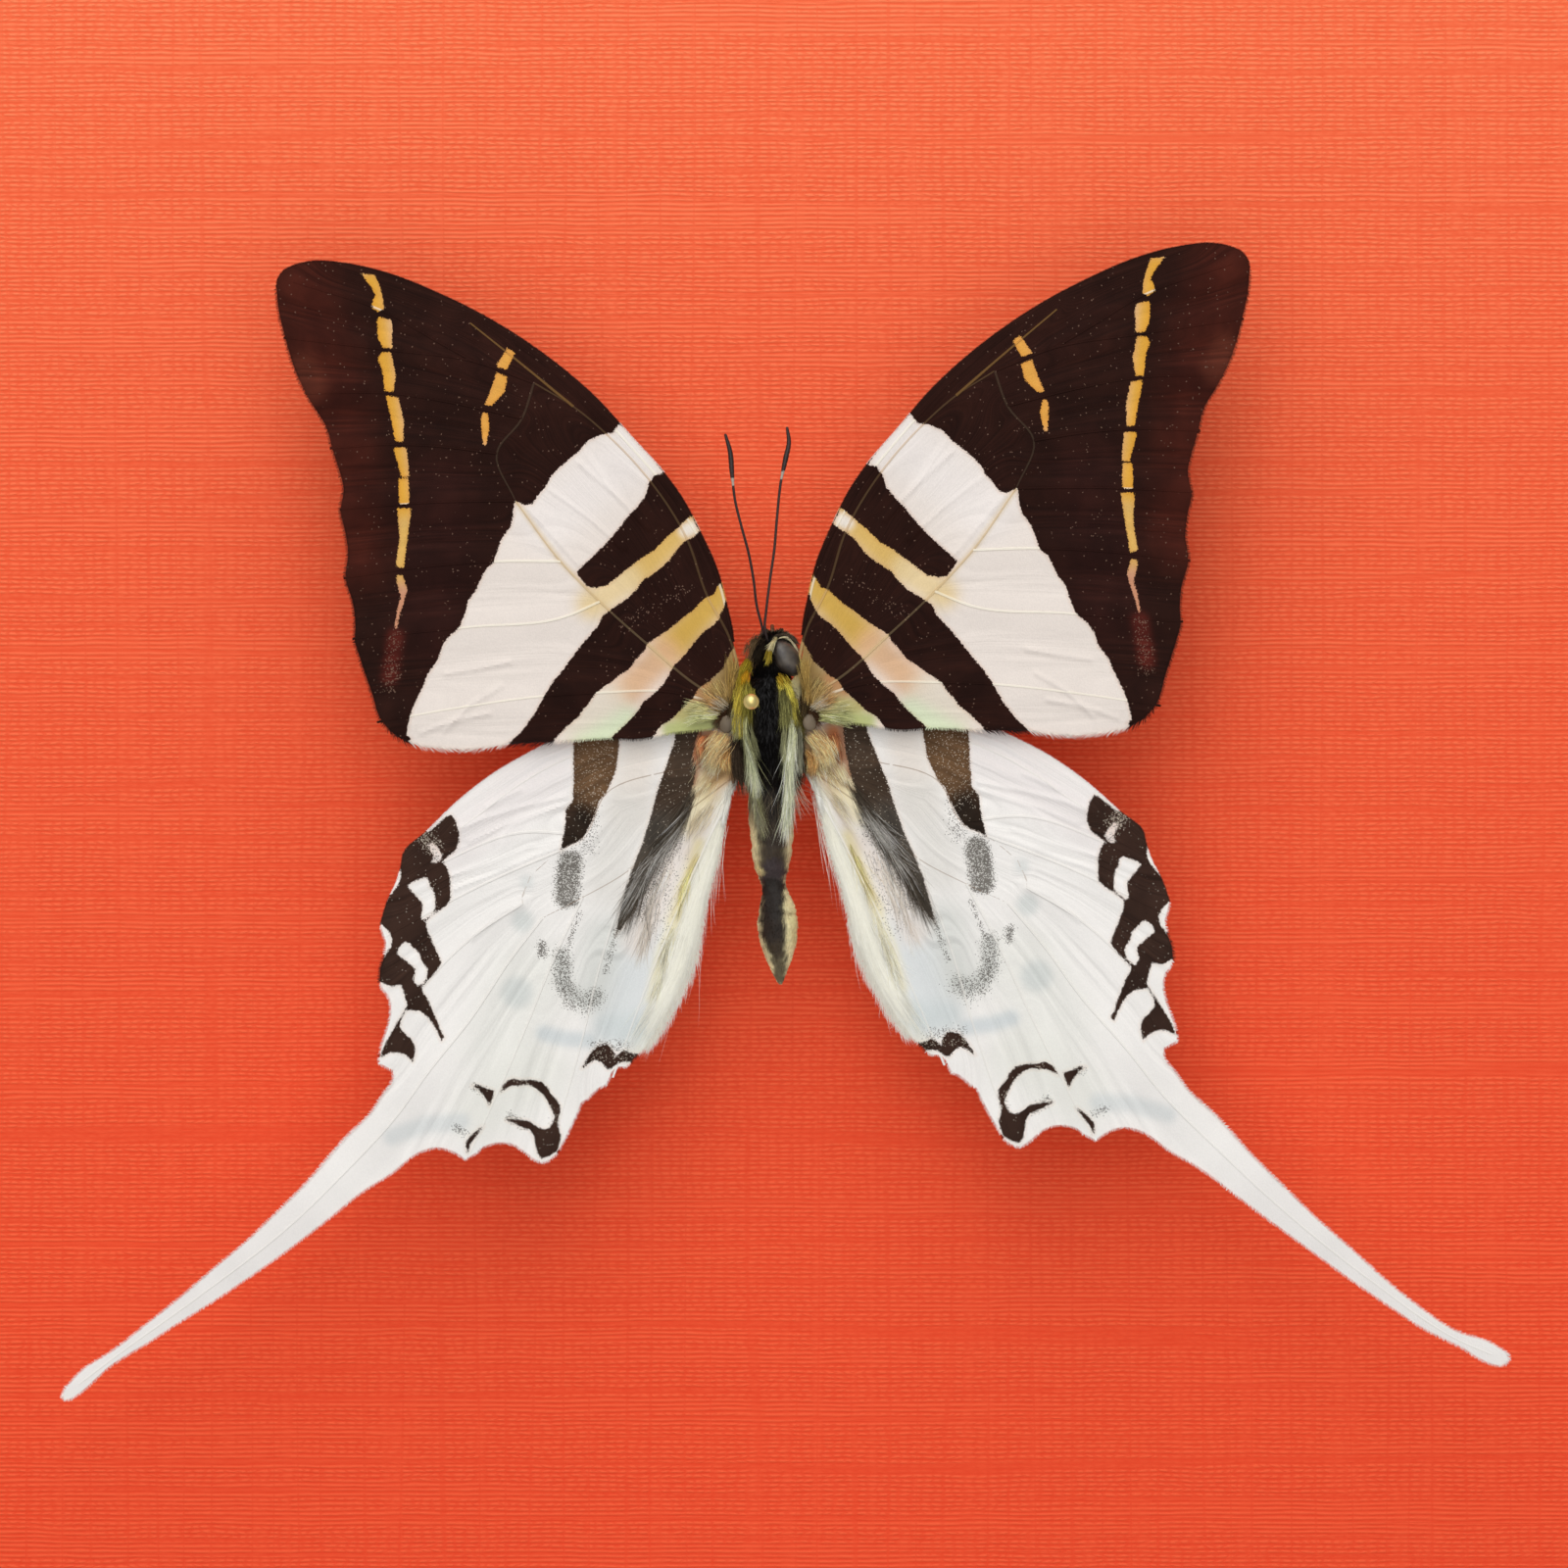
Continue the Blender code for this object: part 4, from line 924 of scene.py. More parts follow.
def makeWingMaterial(name, looks):
    material, tree, shader = newMaterial(name, Roughness=looks["roughness"])
    shader.inputs["Specular IOR Level"].default_value = looks["specular"]
    lie = sums(tree, "MULTIPLY", readAttribute(tree, "lie"), looks["wrinklesPerCell"])
    along = sums(tree, "MULTIPLY", readAttribute(tree, "along"), looks["wrinkleStretch"])
    fibre = addNode(tree, "ShaderNodeCombineXYZ", {0: lie, 1: along}).outputs[0]
    wrinkle = noise(tree, fibre, 1.0, 3.0, 0.6)
    grain = useGroup(tree, scaleGrain, {"Scales per Metre": looks["grains"], "Stretch": 0.7})
    fine, patch = grain.outputs["Grain"], grain.outputs["Patch"]
    cells = addNode(tree, "ShaderNodeTexVoronoi", {"Vector": objectCoords(tree), "Scale": looks["scales"]})
    pick = addNode(tree, "ShaderNodeSeparateColor", {0: cells.outputs["Color"]})

    # ragged edge of the markings, scale by scale
    loose = sums(tree, "SUBTRACT", wrinkle, 0.5)
    ragged = sums(tree, "MULTIPLY_ADD", loose, looks["raggedLong"], readAttribute(tree, "ink"))
    step = sums(tree, "SUBTRACT", pick.outputs[2], 0.5)
    ragged = sums(tree, "MULTIPLY_ADD", step, looks["raggedFine"], ragged)
    mask = span(tree, ragged, -0.03, 0.03)

    # pale scales: soft stripes between the wrinkles, painted shade and sheen that follow the wrinkles' bump,
    # warmer close to the ink, dusted with dark scales
    pale = readAttribute(tree, "paleTone", "Color")
    shade = span(tree, wrinkle, 0.3, 0.7, looks["paleWrinkleShade"], looks["paleWrinkleSheen"])
    shade = sums(tree, "MULTIPLY", shade, span(tree, pick.outputs[1], 0.0, 1.0, 0.965, 1.02))
    pale = blend(tree, 1.0, pale, grey(tree, shade), "MULTIPLY")
    halo = span(tree, ragged, -0.34, 0.0)
    pale = blend(tree, halo, pale, (*looks["haloTint"], 1.0), "MULTIPLY")
    dusted = sums(tree, "LESS_THAN", pick.outputs[0], readAttribute(tree, "dust"))
    pale = blend(tree, sums(tree, "MULTIPLY", dusted, looks["dustDepth"]), pale, rgba(looks["dustTone"]))

    # dark scales: painted sheen in streaks along the wrinkles, brighter in patches, and stray pale scales
    paintedSheen = span(tree, wrinkle, 0.35, 0.75, 0.72, 1.45)
    paintedSheen = sums(tree, "MULTIPLY", paintedSheen, span(tree, patch, 0.3, 0.7, 0.85, 1.2))
    ink = blend(tree, 1.0, readAttribute(tree, "inkTone", "Color"), grey(tree, paintedSheen), "MULTIPLY")
    frosted = sums(tree, "LESS_THAN", pick.outputs[1], readAttribute(tree, "frost"))
    ink = blend(tree, sums(tree, "MULTIPLY", frosted, looks["frostDepth"]), ink, rgba(looks["frostTone"]))

    ribTone = readAttribute(tree, "ribTone", "Color")
    pale = blend(tree, readAttribute(tree, "ribOnPale"), pale, ribTone)
    ink = blend(tree, readAttribute(tree, "ribOnDark"), ink, ribTone)
    colour = blend(tree, mask, pale, ink)

    height = sums(tree, "MULTIPLY_ADD", wrinkle, 0.7, sums(tree, "MULTIPLY", fine, 0.3))
    tree.links.new(colour, shader.inputs["Base Color"])
    setBump(tree, shader, height, looks["bump"], 0.00012)
    return material


forewingLooks = {
    "roughness": 0.66, "specular": 0.06, "wrinklesPerCell": 9.0, "wrinkleStretch": 0.12, "grains": 8000.0,
    "scales": 9500.0, "raggedLong": 0.20, "raggedFine": 0.13, "paleWrinkleShade": 0.95, "paleWrinkleSheen": 1.03, "bump": 0.6,
    "haloTint": (0.93, 0.84, 0.79), "dustTone": (88, 78, 70), "dustDepth": 0.8,
    "frostTone": (128, 100, 84), "frostDepth": 0.6,
}
hindwingLooks = {
    "roughness": 0.68, "specular": 0.08, "wrinklesPerCell": 8.0, "wrinkleStretch": 0.10, "grains": 8000.0,
    "scales": 13500.0, "raggedLong": 0.24, "raggedFine": 0.16, "paleWrinkleShade": 0.93, "paleWrinkleSheen": 1.04, "bump": 0.8,
    "haloTint": (0.95, 0.89, 0.85), "dustTone": (74, 66, 58), "dustDepth": 0.8,
    "frostTone": (196, 184, 166), "frostDepth": 0.8,
}
forewingMaterial = makeWingMaterial("forewingScales", forewingLooks)
hindwingMaterial = makeWingMaterial("hindwingScales", hindwingLooks)

for side, sideName in ((-1, "left"), (1, "right")):
    makeWing("wing_fore_" + sideName, forewing, forewingMarks, side, forewingMaterial, "forewing_scales",
             ["forewing_" + sideName])
    makeWing("wing_hind_" + sideName, hindwing, hindwingMarks, side, hindwingMaterial, "hindwing_scales",
             ["hindwing_" + sideName, "hindwing_tail_" + sideName])
    print("wings made:", sideName)


# Strands: hair, fringes and scales as solid tapered slivers

bakeMap = {
    "edge": 0.02, "share": 0.94, "strand": 0.003, "bodyLevel": 28.0, "bodyLength": 80.0,
    "wingLow": (40, 240), "wingSize": (760, 1220),
}


def buildStrands(paths, widths, rootTones, tipTones, patches):
    # joined three-sided slivers: paths holds every strand's knots, and patches its place on the bake map
    count, knots = paths.shape[:2]
    rings = knots - 1
    ahead = np.empty_like(paths)
    ahead[:, 1:-1] = paths[:, 2:] - paths[:, :-2]
    ahead[:, 0] = paths[:, 1] - paths[:, 0]
    ahead[:, -1] = paths[:, -1] - paths[:, -2]
    ahead /= np.maximum(np.linalg.norm(ahead, axis=2), 1e-9)[:, :, None]
    side = np.cross(ahead, np.array([0.05, 0.02, 1.0]))
    side /= np.maximum(np.linalg.norm(side, axis=2), 1e-9)[:, :, None]
    top = np.cross(side, ahead)
    share = np.linspace(0.0, 1.0, knots)
    thick = widths[:, None] / 2 * (1.0 - 0.75 * share**1.5)[None, :]
    thick[:, 0] *= 0.7
    corners = [(0.0, 0.8), (-1.0, -0.5), (1.0, -0.5)]
    spots = np.empty((count, rings * 3 + 1, 3))
    for r in range(rings):
        for k, (across, up) in enumerate(corners):
            offset = side[:, r] * across + top[:, r] * up
            spots[:, r * 3 + k] = paths[:, r] + offset * thick[:, r, None]
    spots[:, -1] = paths[:, -1]

    faces, flat = [], []
    for r in range(rings - 1):
        for k in range(3):
            n = (k + 1) % 3
            faces.append((r * 3 + k, r * 3 + n, r * 3 + 3 + n, r * 3 + 3 + k))
            flat += [(u / 3, v / rings) for u, v in ((k, r), (k + 1, r), (k + 1, r + 1), (k, r + 1))]
    last = (rings - 1) * 3
    for k in range(3):
        faces.append((last + k, last + (k + 1) % 3, rings * 3))
        flat += [(k / 3, 1 - 1 / rings), ((k + 1) / 3, 1 - 1 / rings), ((k + 0.5) / 3, 1.0)]
    faces.append((2, 1, 0))
    flat += [(0.0, 0.0), (0.5, 0.0), (1.0, 0.0)]

    each = rings * 3 + 1
    everyFace = []
    for face in faces:
        everyFace.append(np.array(face)[None, :] + (np.arange(count) * each)[:, None])
    ordered = [tuple(row[i]) for i in range(count) for row in everyFace]
    mesh = bpy.data.meshes.new("strands")
    mesh.from_pydata(spots.reshape(-1, 3), [], ordered)
    layer = mesh.uv_layers.new(name="OFBake")
    cell = np.array(flat)[None, :, :] * bakeMap["strand"] + patches[:, None, :]
    layer.data.foreach_set("uv", np.ascontiguousarray(cell, dtype=np.float32).ravel())
    step = np.append(np.repeat(share[:rings], 3), 1.0)[None, :, None]
    tones = rootTones[:, None, :] * (1 - step) + tipTones[:, None, :] * step
    addColours(mesh, "tone", tones.reshape(-1, 3))
    piece = bpy.data.objects.new("strands", mesh)
    bpy.context.scene.collection.objects.link(piece)
    return piece


def bodyPatch(spots):
    # a place on the bake map, by angle round the body and distance along it
    line = place(reading["bodyLine"], 0).x
    angle = np.arctan2(spots[:, 0] - line, spots[:, 2] - bakeMap["bodyLevel"]) / math.tau + 0.5
    along = spots[:, 1] / bakeMap["bodyLength"] + 0.5
    return bakeMap["edge"] + bakeMap["share"] * np.column_stack([angle, along])


def wingPatch(wing, side, spots):
    # a place on the bake map, by its place on the left wing
    flat = toReading(wing, side, spots[:, :2])
    return bakeMap["edge"] + bakeMap["share"] * (flat - bakeMap["wingLow"]) / bakeMap["wingSize"]


def vary(tones, amount):
    # every strand a little lighter or darker than the next
    shift = rng.normal(0.0, amount, (len(tones), 1))
    return np.clip(tones * np.exp(shift), 0.0, 1.0)


wisps = {
    "strands": 9, "width": 0.038, "apart": 0.4, "own": 0.32, "bend": 0.07, "splay": 0.11,
    "step": 1.5, "fan": 0.8, "curl": 0.1, "lift": 0.12, "depth": 0.3,
    "strayShare": 0.06, "strayTimes": 2.6, "toneOfWisp": 0.2, "toneOfStrand": 0.38,
}


def growLock(tuft, convert):
    # hair in loose wisps along one guide line, as arrays for buildStrands
    guide = smoothPath(tuft["path"], wisps["step"])
    beyond = np.arange(1, 2 + len(guide) // 7)[:, None]
    guide = np.vstack([guide, guide[-1] + (guide[-1] - guide[-2]) * beyond])
    count = tuft["count"]
    bunches = max(3, count // wisps["strands"])
    wisp = rng.integers(0, bunches, count)
    wild = np.where(rng.uniform(0.0, 1.0, count) < wisps["strayShare"], wisps["strayTimes"], 1.0)
    reach = tuft["reach"]
    begin = rng.uniform(0.0, max(0.87 - reach * 0.8, 0.05), bunches)[wisp] + rng.uniform(0.0, 0.12, count)
    finish = begin + reach * rng.uniform(0.7, 1.1, count)
    share = np.linspace(0.0, 1.0, strandSettings["knots"])[None, :]
    where = (begin[:, None] + (np.minimum(finish, 1.0) - begin)[:, None] * share) * (len(guide) - 1)
    low = np.clip(where.astype(int), 0, len(guide) - 2)
    part = (where - low)[:, :, None]
    spine = guide[low] * (1 - part) + guide[low + 1] * part
    ahead = guide[low + 1] - guide[low]
    ahead /= np.maximum(np.linalg.norm(ahead[:, :, :2], axis=2), 1e-9)[:, :, None]
    across = np.stack([-ahead[:, :, 1], ahead[:, :, 0]], axis=2)

    fan = 1.0 + (tuft.get("fan", wisps["fan"]) - 1.0) * where / (len(guide) - 1)
    drift = rng.normal(0.0, wisps["apart"], bunches)[wisp] + rng.normal(0.0, wisps["own"], count)
    slope = rng.normal(0.0, wisps["bend"], bunches)[wisp] + rng.normal(0.0, wisps["splay"], count) * wild
    travelled = (where - where[:, :1]) * wisps["step"]
    speed, start = rng.uniform(2.0, 5.0, bunches)[wisp], rng.uniform(0.0, math.tau, count)
    curl = wisps["curl"] * tuft["spread"] * tuft.get("curl", 1.0)
    wave = curl * np.sin(share * speed[:, None] + start[:, None]) * share
    stray = slope[:, None] * travelled * tuft.get("loose", 1.0)
    sideways = (drift * tuft["spread"])[:, None] * fan + stray + wave
    spine[:, :, :2] += across * sideways[:, :, None]
    depth = rng.uniform(-0.4, 0.4, bunches)[wisp] + rng.uniform(-0.4, 0.4, count)
    lift = tuft.get("lift", wisps["lift"]) * np.sin(share * math.pi)
    spine[:, :, 2] += lift + depth[:, None] * tuft.get("depth", wisps["depth"])

    flat = convert(spine[:, :, :2].reshape(-1, 2)).reshape(count, -1, 2)
    paths = np.concatenate([flat, spine[:, :, 2:3]], axis=2)
    widths = tuft.get("width", wisps["width"]) * rng.uniform(0.7, 1.3, count)
    shift = rng.normal(0.0, wisps["toneOfWisp"], bunches)[wisp]
    shift = shift + rng.normal(0.0, wisps["toneOfStrand"], count)
    shift *= tuft.get("contrast", 1.0)
    roots, tips = [np.clip(linear(tuft[end]) * np.exp(shift)[:, None], 0.0, 1.0) for end in ("root", "tip")]
    return paths, widths, roots, tips


def lock(count, spread, reach, root, tip, *path, **more):
    # hair laid along a path: pixels across it, how much of it a hair covers, and the colours of its ends
    return {"count": count, "spread": spread, "reach": reach, "root": root, "tip": tip, "path": path, **more}


def mergeStrands(groups):
    return [np.concatenate(column) for column in zip(*groups)]


strandSettings = {"knots": 5}


def makeStrandMaterial(name, looks):
    material, tree, shader = newMaterial(name, Roughness=looks["roughness"])
    shader.inputs["Specular IOR Level"].default_value = looks["specular"]
    grain = useGroup(tree, scaleGrain, {"Scales per Metre": looks["scales"], "Stretch": 1.0})
    low, high = 1.0 - looks["mottle"], 1.0 + looks["mottle"]
    shade = sums(tree, "MULTIPLY", span(tree, grain.outputs["Grain"], 0.3, 0.7, low, high),
                 span(tree, grain.outputs["Patch"], 0.3, 0.7, low, high))
    colour = blend(tree, 1.0, readAttribute(tree, "tone", "Color"), grey(tree, shade), "MULTIPLY")
    tree.links.new(colour, shader.inputs["Base Color"])
    return material


bodyHair = makeStrandMaterial("bodyHair", {
    "roughness": 0.7, "specular": 0.08, "scales": 3000.0, "mottle": 0.06})
wingHair = makeStrandMaterial("wingHair", {
    "roughness": 0.6, "specular": 0.25, "scales": 3000.0, "mottle": 0.015})
print("strand tools ready")


# Body: one skin from the head to the tip of the abdomen

# photo y, photo x, level, half width and half height of each section
bodySections = [
    (645.5, 791, 28.4, 0.45, 0.45), (648, 791, 28.4, 1.05, 0.95), (653, 791, 28.4, 1.60, 1.40),
    (662, 790.5, 28.4, 1.95, 1.70), (671, 790, 28.4, 1.95, 1.72), (680, 788.5, 28.4, 1.62, 1.50),
    (687, 787, 28.4, 1.45, 1.40), (693, 786, 28.4, 1.75, 1.72), (702, 785.5, 28.4, 2.40, 2.30),
    (718, 785.5, 28.4, 3.00, 2.80), (740, 785.5, 28.4, 3.25, 3.02), (760, 785.5, 28.35, 3.02, 2.85),
    (777, 786, 28.1, 2.55, 2.50), (792, 786.5, 27.9, 2.10, 2.10), (808, 787, 27.6, 2.12, 2.10),
    (831, 787, 27.5, 2.22, 2.15), (853, 787.5, 27.4, 2.04, 1.95), (873, 787.5, 27.3, 1.88, 1.78),
    (889, 787.5, 27.2, 1.58, 1.52), (897, 788.5, 27.2, 1.20, 1.15), (905, 789.5, 27.2, 1.12, 1.05),
    (913, 791.5, 27.2, 1.30, 1.22), (922, 793, 27.2, 1.60, 1.48), (936, 793.5, 27.2, 1.90, 1.75),
    (952, 794, 27.2, 1.94, 1.78), (968, 794, 27.3, 1.62, 1.5), (984, 795, 27.4, 1.06, 1.0),
    (996, 795.5, 27.5, 0.56, 0.54), (1005, 796.5, 27.6, 0.2, 0.2),
]
bodySkin = {
    "sides": 28, "roundings": 2, "grooveDepth": 0.045, "grooveWidth": 0.16,
    "grooves": [812, 829, 846, 863, 880, 893, 912, 932, 952, 970, 986], "crease": 0.035,
    "dryFrom": 800, "dryOver": 60,
}
bodyMarks = {
    "ground": (220, 207, 158),
    "under": (206, 198, 160),
    "washes": [
        tinted((64, 58, 42), 46, 1.0, (786, 700), (786, 800), edge=6),
        tinted((136, 120, 52), 12, 0.9, (758, 682), (754, 708), (753, 738), edge=5),
        tinted((132, 120, 58), 12, 0.9, (797, 690), (808, 712), (812, 738), edge=5),
        tinted((112, 110, 82), 8, 0.9, (757, 746), (764, 786), edge=5),
        tinted((144, 146, 116), 9, 0.9, (809, 746), (804, 792), edge=5),
        tinted((24, 19, 15), 26, 1.0, (790, 655), (788, 680), edge=6),
        tinted((13, 10, 9), 15, 1.0, (780, 690), (783, 740), (785, 790), edge=6),
        tinted((84, 72, 52), 15.5, 0.9, (787, 800), (788, 888), edge=8),
        tinted((20, 14, 11), 15, 1.0, (789, 796), (789, 850), edge=7),
        tinted((52, 40, 29), 12, 0.9, (789, 850), (789, 886), edge=5),
        tinted((60, 49, 48), 13, 1.0, (789, 888), (788, 906), edge=9),
        tinted((29, 20, 12), 13.5, 1.0, (788, 908), (787.5, 935), (788.5, 952), edge=9),
        tinted((36, 24, 13), 11, 0.95, (789.5, 948), (792, 968), edge=7),
        tinted((54, 41, 25), 7, 0.9, (792, 966), (795, 984), (796, 998), edge=6),
        tinted((20, 14, 10), 1.8, 0.9, (803, 976), (802, 982)),
        tinted((92, 66, 30), 1.8, 0.8, (802, 933), (806, 934)),
        tinted((216, 200, 140), 4, 0.8, (772, 885), (775, 890)),
        tinted((206, 198, 140), 6, 0.6, (812, 935), (812, 960)),
    ],
}


def makeBodySkin():
    deselectAll()
    first = bodySections[0]
    bpy.ops.mesh.primitive_circle_add(
        vertices=bodySkin["sides"], radius=1.0, fill_type="NGON",
        location=place(first[1], first[0], first[2]), rotation=(math.radians(90), 0.0, 0.0),
    )
    skin = bpy.context.object
    bpy.ops.object.transform_apply(location=True, rotation=True, scale=True)
    bpy.ops.object.mode_set(mode="EDIT")
    bpy.ops.mesh.select_all(action="SELECT")
    here = place(first[1], first[0], first[2])
    bpy.ops.transform.resize(value=(first[3], 1.0, first[4]), center_override=here)
    for before, section in zip(bodySections, bodySections[1:]):
        there = place(section[1], section[0], section[2])
        bpy.ops.mesh.extrude_region_move(TRANSFORM_OT_translate={"value": there - here})
        growth = (section[3] / before[3], 1.0, section[4] / before[4])
        bpy.ops.transform.resize(value=growth, center_override=there)
        here = there
    bpy.ops.mesh.select_all(action="SELECT")
    bpy.ops.mesh.normals_make_consistent(inside=False)
    bpy.ops.object.mode_set(mode="OBJECT")
    applyModifier(skin, "SUBSURF", levels=bodySkin["roundings"], render_levels=bodySkin["roundings"])

    spots = coordinates(skin.data)
    py = reading["middle"] - spots[:, 1] / pixel
    middleX = np.interp(py, [s[0] for s in bodySections], [place(s[1], 0).x for s in bodySections])
    middleZ = np.interp(py, [s[0] for s in bodySections], [s[2] for s in bodySections])
    angle = np.arctan2(spots[:, 0] - middleX, spots[:, 2] - middleZ)
    sink = np.zeros(len(spots))
    for groove in bodySkin["grooves"]:
        gap = (py - groove - 1.5 * np.cos(angle)) * pixel
        sink = np.maximum(sink, np.exp(-((gap / bodySkin["grooveWidth"]) ** 2)))
    dry = np.sin(angle * 5 + py * 0.11) * 0.5 + np.sin(angle * 9 - py * 0.23 + 1.0) * 0.3
    dry += np.sin(py * 0.9) * 0.2
    dry *= np.clip((py - bodySkin["dryFrom"]) / bodySkin["dryOver"], 0, 1)
    factor = 1.0 - bodySkin["grooveDepth"] * sink + bodySkin["crease"] * dry
    spots[:, 0] = middleX + (spots[:, 0] - middleX) * factor
    spots[:, 2] = middleZ + (spots[:, 2] - middleZ) * factor
    setCoordinates(skin.data, spots)
    return skin


def bodyTone(spots, normals):
    # colour of the body at a place: the markings seen from above, and the pale underside
    jitter = rng.normal(0.0, 0.7, (len(spots), 2))
    flat = np.column_stack([
        reading["middle"] + spots[:, 0] / pixel, reading["middle"] - spots[:, 1] / pixel]) + jitter
    flat[:, 0] += 1.1 * np.sin(0.45 * flat[:, 1]) + 0.9 * np.sin(1.13 * flat[:, 1] + 0.6 * flat[:, 0])
    tones = paintWashes(flat, bodyMarks["ground"], bodyMarks["washes"])
    below = np.clip(0.2 - normals[:, 2] * 1.4, 0.0, 1.0)[:, None]
    return tones * (1 - below) + linear(bodyMarks["under"]) * below


def vertexNormals(mesh):
    found = np.empty(len(mesh.vertices) * 3)
    mesh.vertex_normals.foreach_get("vector", found)
    return found.reshape(-1, 3)


def makeSkinMaterial(name, looks):
    material, tree, shader = newMaterial(name, Roughness=looks["roughness"])
    shader.inputs["Specular IOR Level"].default_value = looks["specular"]
    grain = useGroup(tree, scaleGrain, {"Scales per Metre": looks["scales"], "Stretch": 0.5})
    shade = sums(tree, "MULTIPLY", span(tree, grain.outputs["Grain"], 0.3, 0.7, 0.8, 1.15),
                 span(tree, grain.outputs["Patch"], 0.3, 0.7, 0.85, 1.15))
    colour = blend(tree, 1.0, readAttribute(tree, "tone", "Color"), grey(tree, shade), "MULTIPLY")
    tree.links.new(colour, shader.inputs["Base Color"])
    setBump(tree, shader, grain.outputs["Grain"], looks["bump"], 0.0001)
    return material


def sampleSkin(mesh, count):
    # evenly spread places on a skin, with their normals
    mesh.calc_loop_triangles()
    corners = np.empty(len(mesh.loop_triangles) * 3, dtype=np.int64)
    mesh.loop_triangles.foreach_get("vertices", corners)
    a, b, c = (coordinates(mesh)[corners.reshape(-1, 3)[:, k]] for k in range(3))
    normal = np.cross(b - a, c - a)
    area = np.linalg.norm(normal, axis=1)
    chosen = rng.choice(len(area), count, p=area / area.sum())
    u, v = rng.uniform(0, 1, (2, count))
    fold = u + v > 1
    u[fold], v[fold] = 1 - u[fold], 1 - v[fold]
    spots = a[chosen] + (b - a)[chosen] * u[:, None] + (c - a)[chosen] * v[:, None]
    return spots, normal[chosen] / area[chosen][:, None]


coat = {
    "candidates": 70000, "clearOfEye": 1.25,
    # photo y where it starts and ends, count, length, width, lean, droop and knots
    "zones": {
        "coat_head": (0, 690, 6500, 0.72, 0.045, 0.5, 0.05, 4),
        "coat_thorax": (688, 800, 11000, 1.1, 0.045, 0.74, 0.10, 4),
        "coat_abdomen": (792, 1600, 15000, 0.26, 0.075, 0.88, 0.0, 3),
    },
}


def coatStrands(spots, normals, lengths, widths, lean, droop, knots):
    # short hair or scales that lean back along the body
    back = np.array([0.0, -1.0, 0.0]) - normals * (normals @ np.array([0.0, -1.0, 0.0]))[:, None]
    back /= np.maximum(np.linalg.norm(back, axis=1), 1e-6)[:, None]
    back += rng.normal(0.0, 0.22, back.shape)
    heading = normals * (1 - lean)[:, None] + back * lean[:, None]
    heading /= np.linalg.norm(heading, axis=1)[:, None]
    share = np.linspace(0.0, 1.0, knots)[None, :, None]
    start = (spots - normals * 0.06)[:, None, :]
    paths = start + heading[:, None, :] * lengths[:, None, None] * share
    paths -= normals[:, None, :] * (droop * lengths)[:, None, None] * share**2
    tones = bodyTone(spots, normals)
    return paths, widths, vary(tones, 0.25), vary(tones * 1.15, 0.25)


def growCoat(skin):
    spots, normals = sampleSkin(skin.data, coat["candidates"])
    py = reading["middle"] - spots[:, 1] / pixel
    inEye = np.zeros(len(spots), dtype=bool)
    for side in (-1, 1):
        centre = np.array(eyeCentre(side))
        inEye |= np.linalg.norm((spots - centre) / coat["clearOfEye"], axis=1) < 1.0
    groups = {}
    for name, (first, last, most, length, width, lean, droop, knots) in coat["zones"].items():
        inZone = (py >= first) & (py < last)
        if name == "coat_head":
            inZone &= ~inEye
        chosen = np.flatnonzero(inZone)[:most]
        count = len(chosen)
        lengths = length * rng.uniform(0.6, 1.2, count)
        widths = width * rng.uniform(0.7, 1.3, count)
        leans = np.clip(lean + rng.normal(0, 0.08, count), 0.1, 0.97)
        strands = coatStrands(spots[chosen], normals[chosen], lengths, widths, leans, droop, knots)
        groups[name] = buildStrands(*strands, bodyPatch(spots[chosen]))
    return groups


# Eyes: the head is rolled, so the right eye faces up and the left one down

eyes = {
    "headPlace": (791.0, 667.0), "headLevel": 28.4, "reach": (1.08, -0.38, 1.12),
    "half": (1.1, 1.96, 1.3), "roll": 45.0, "swing": 33.0,
    "tone": (82, 73, 62), "deepTone": (48, 40, 34),
}


def eyeCentre(side):
    reach = eyes["reach"]
    return place(*eyes["headPlace"], eyes["headLevel"]) + Vector((reach[0] * side, reach[1], reach[2] * side))


def makeEyeMaterial():
    material, tree, shader = newMaterial("eye", Roughness=0.3)
    shader.inputs["Coat Weight"].default_value = 0.1
    shader.inputs["Coat Roughness"].default_value = 0.18
    cloud = noise(tree, objectCoords(tree), 900.0, 3.0)
    tone = blend(tree, span(tree, cloud, 0.4, 0.62), rgba(eyes["deepTone"]), rgba(eyes["tone"]))
    facets = addNode(tree, "ShaderNodeTexVoronoi", {"Vector": objectCoords(tree), "Scale": 16000.0})
    tree.links.new(tone, shader.inputs["Base Color"])
    setBump(tree, shader, facets.outputs["Distance"], 0.35, 0.00003).invert = True
    return material


def makeBall(segments, rings, half):
    # a ball stretched to its half sizes
    deselectAll()
    bpy.ops.mesh.primitive_uv_sphere_add(segments=segments, ring_count=rings, radius=1.0)
    ball = bpy.context.object
    bpy.ops.object.mode_set(mode="EDIT")
    bpy.ops.mesh.select_all(action="SELECT")
    bpy.ops.transform.resize(value=half)
    bpy.ops.object.mode_set(mode="OBJECT")
    return ball


def makeEye(side, name, material, node):
    eye = makeBall(48, 24, eyes["half"])
    turn = Matrix.Rotation(math.radians(eyes["swing"] * side), 4, "Z") @ Matrix.Rotation(
        math.radians(-eyes["roll"]), 4, "Y")
    eye.data.transform(Matrix.Translation(eyeCentre(side)) @ turn)
    return finishPiece(eye, name, material, "eye", node)


# Feelers, palps, tongue, legs and pin

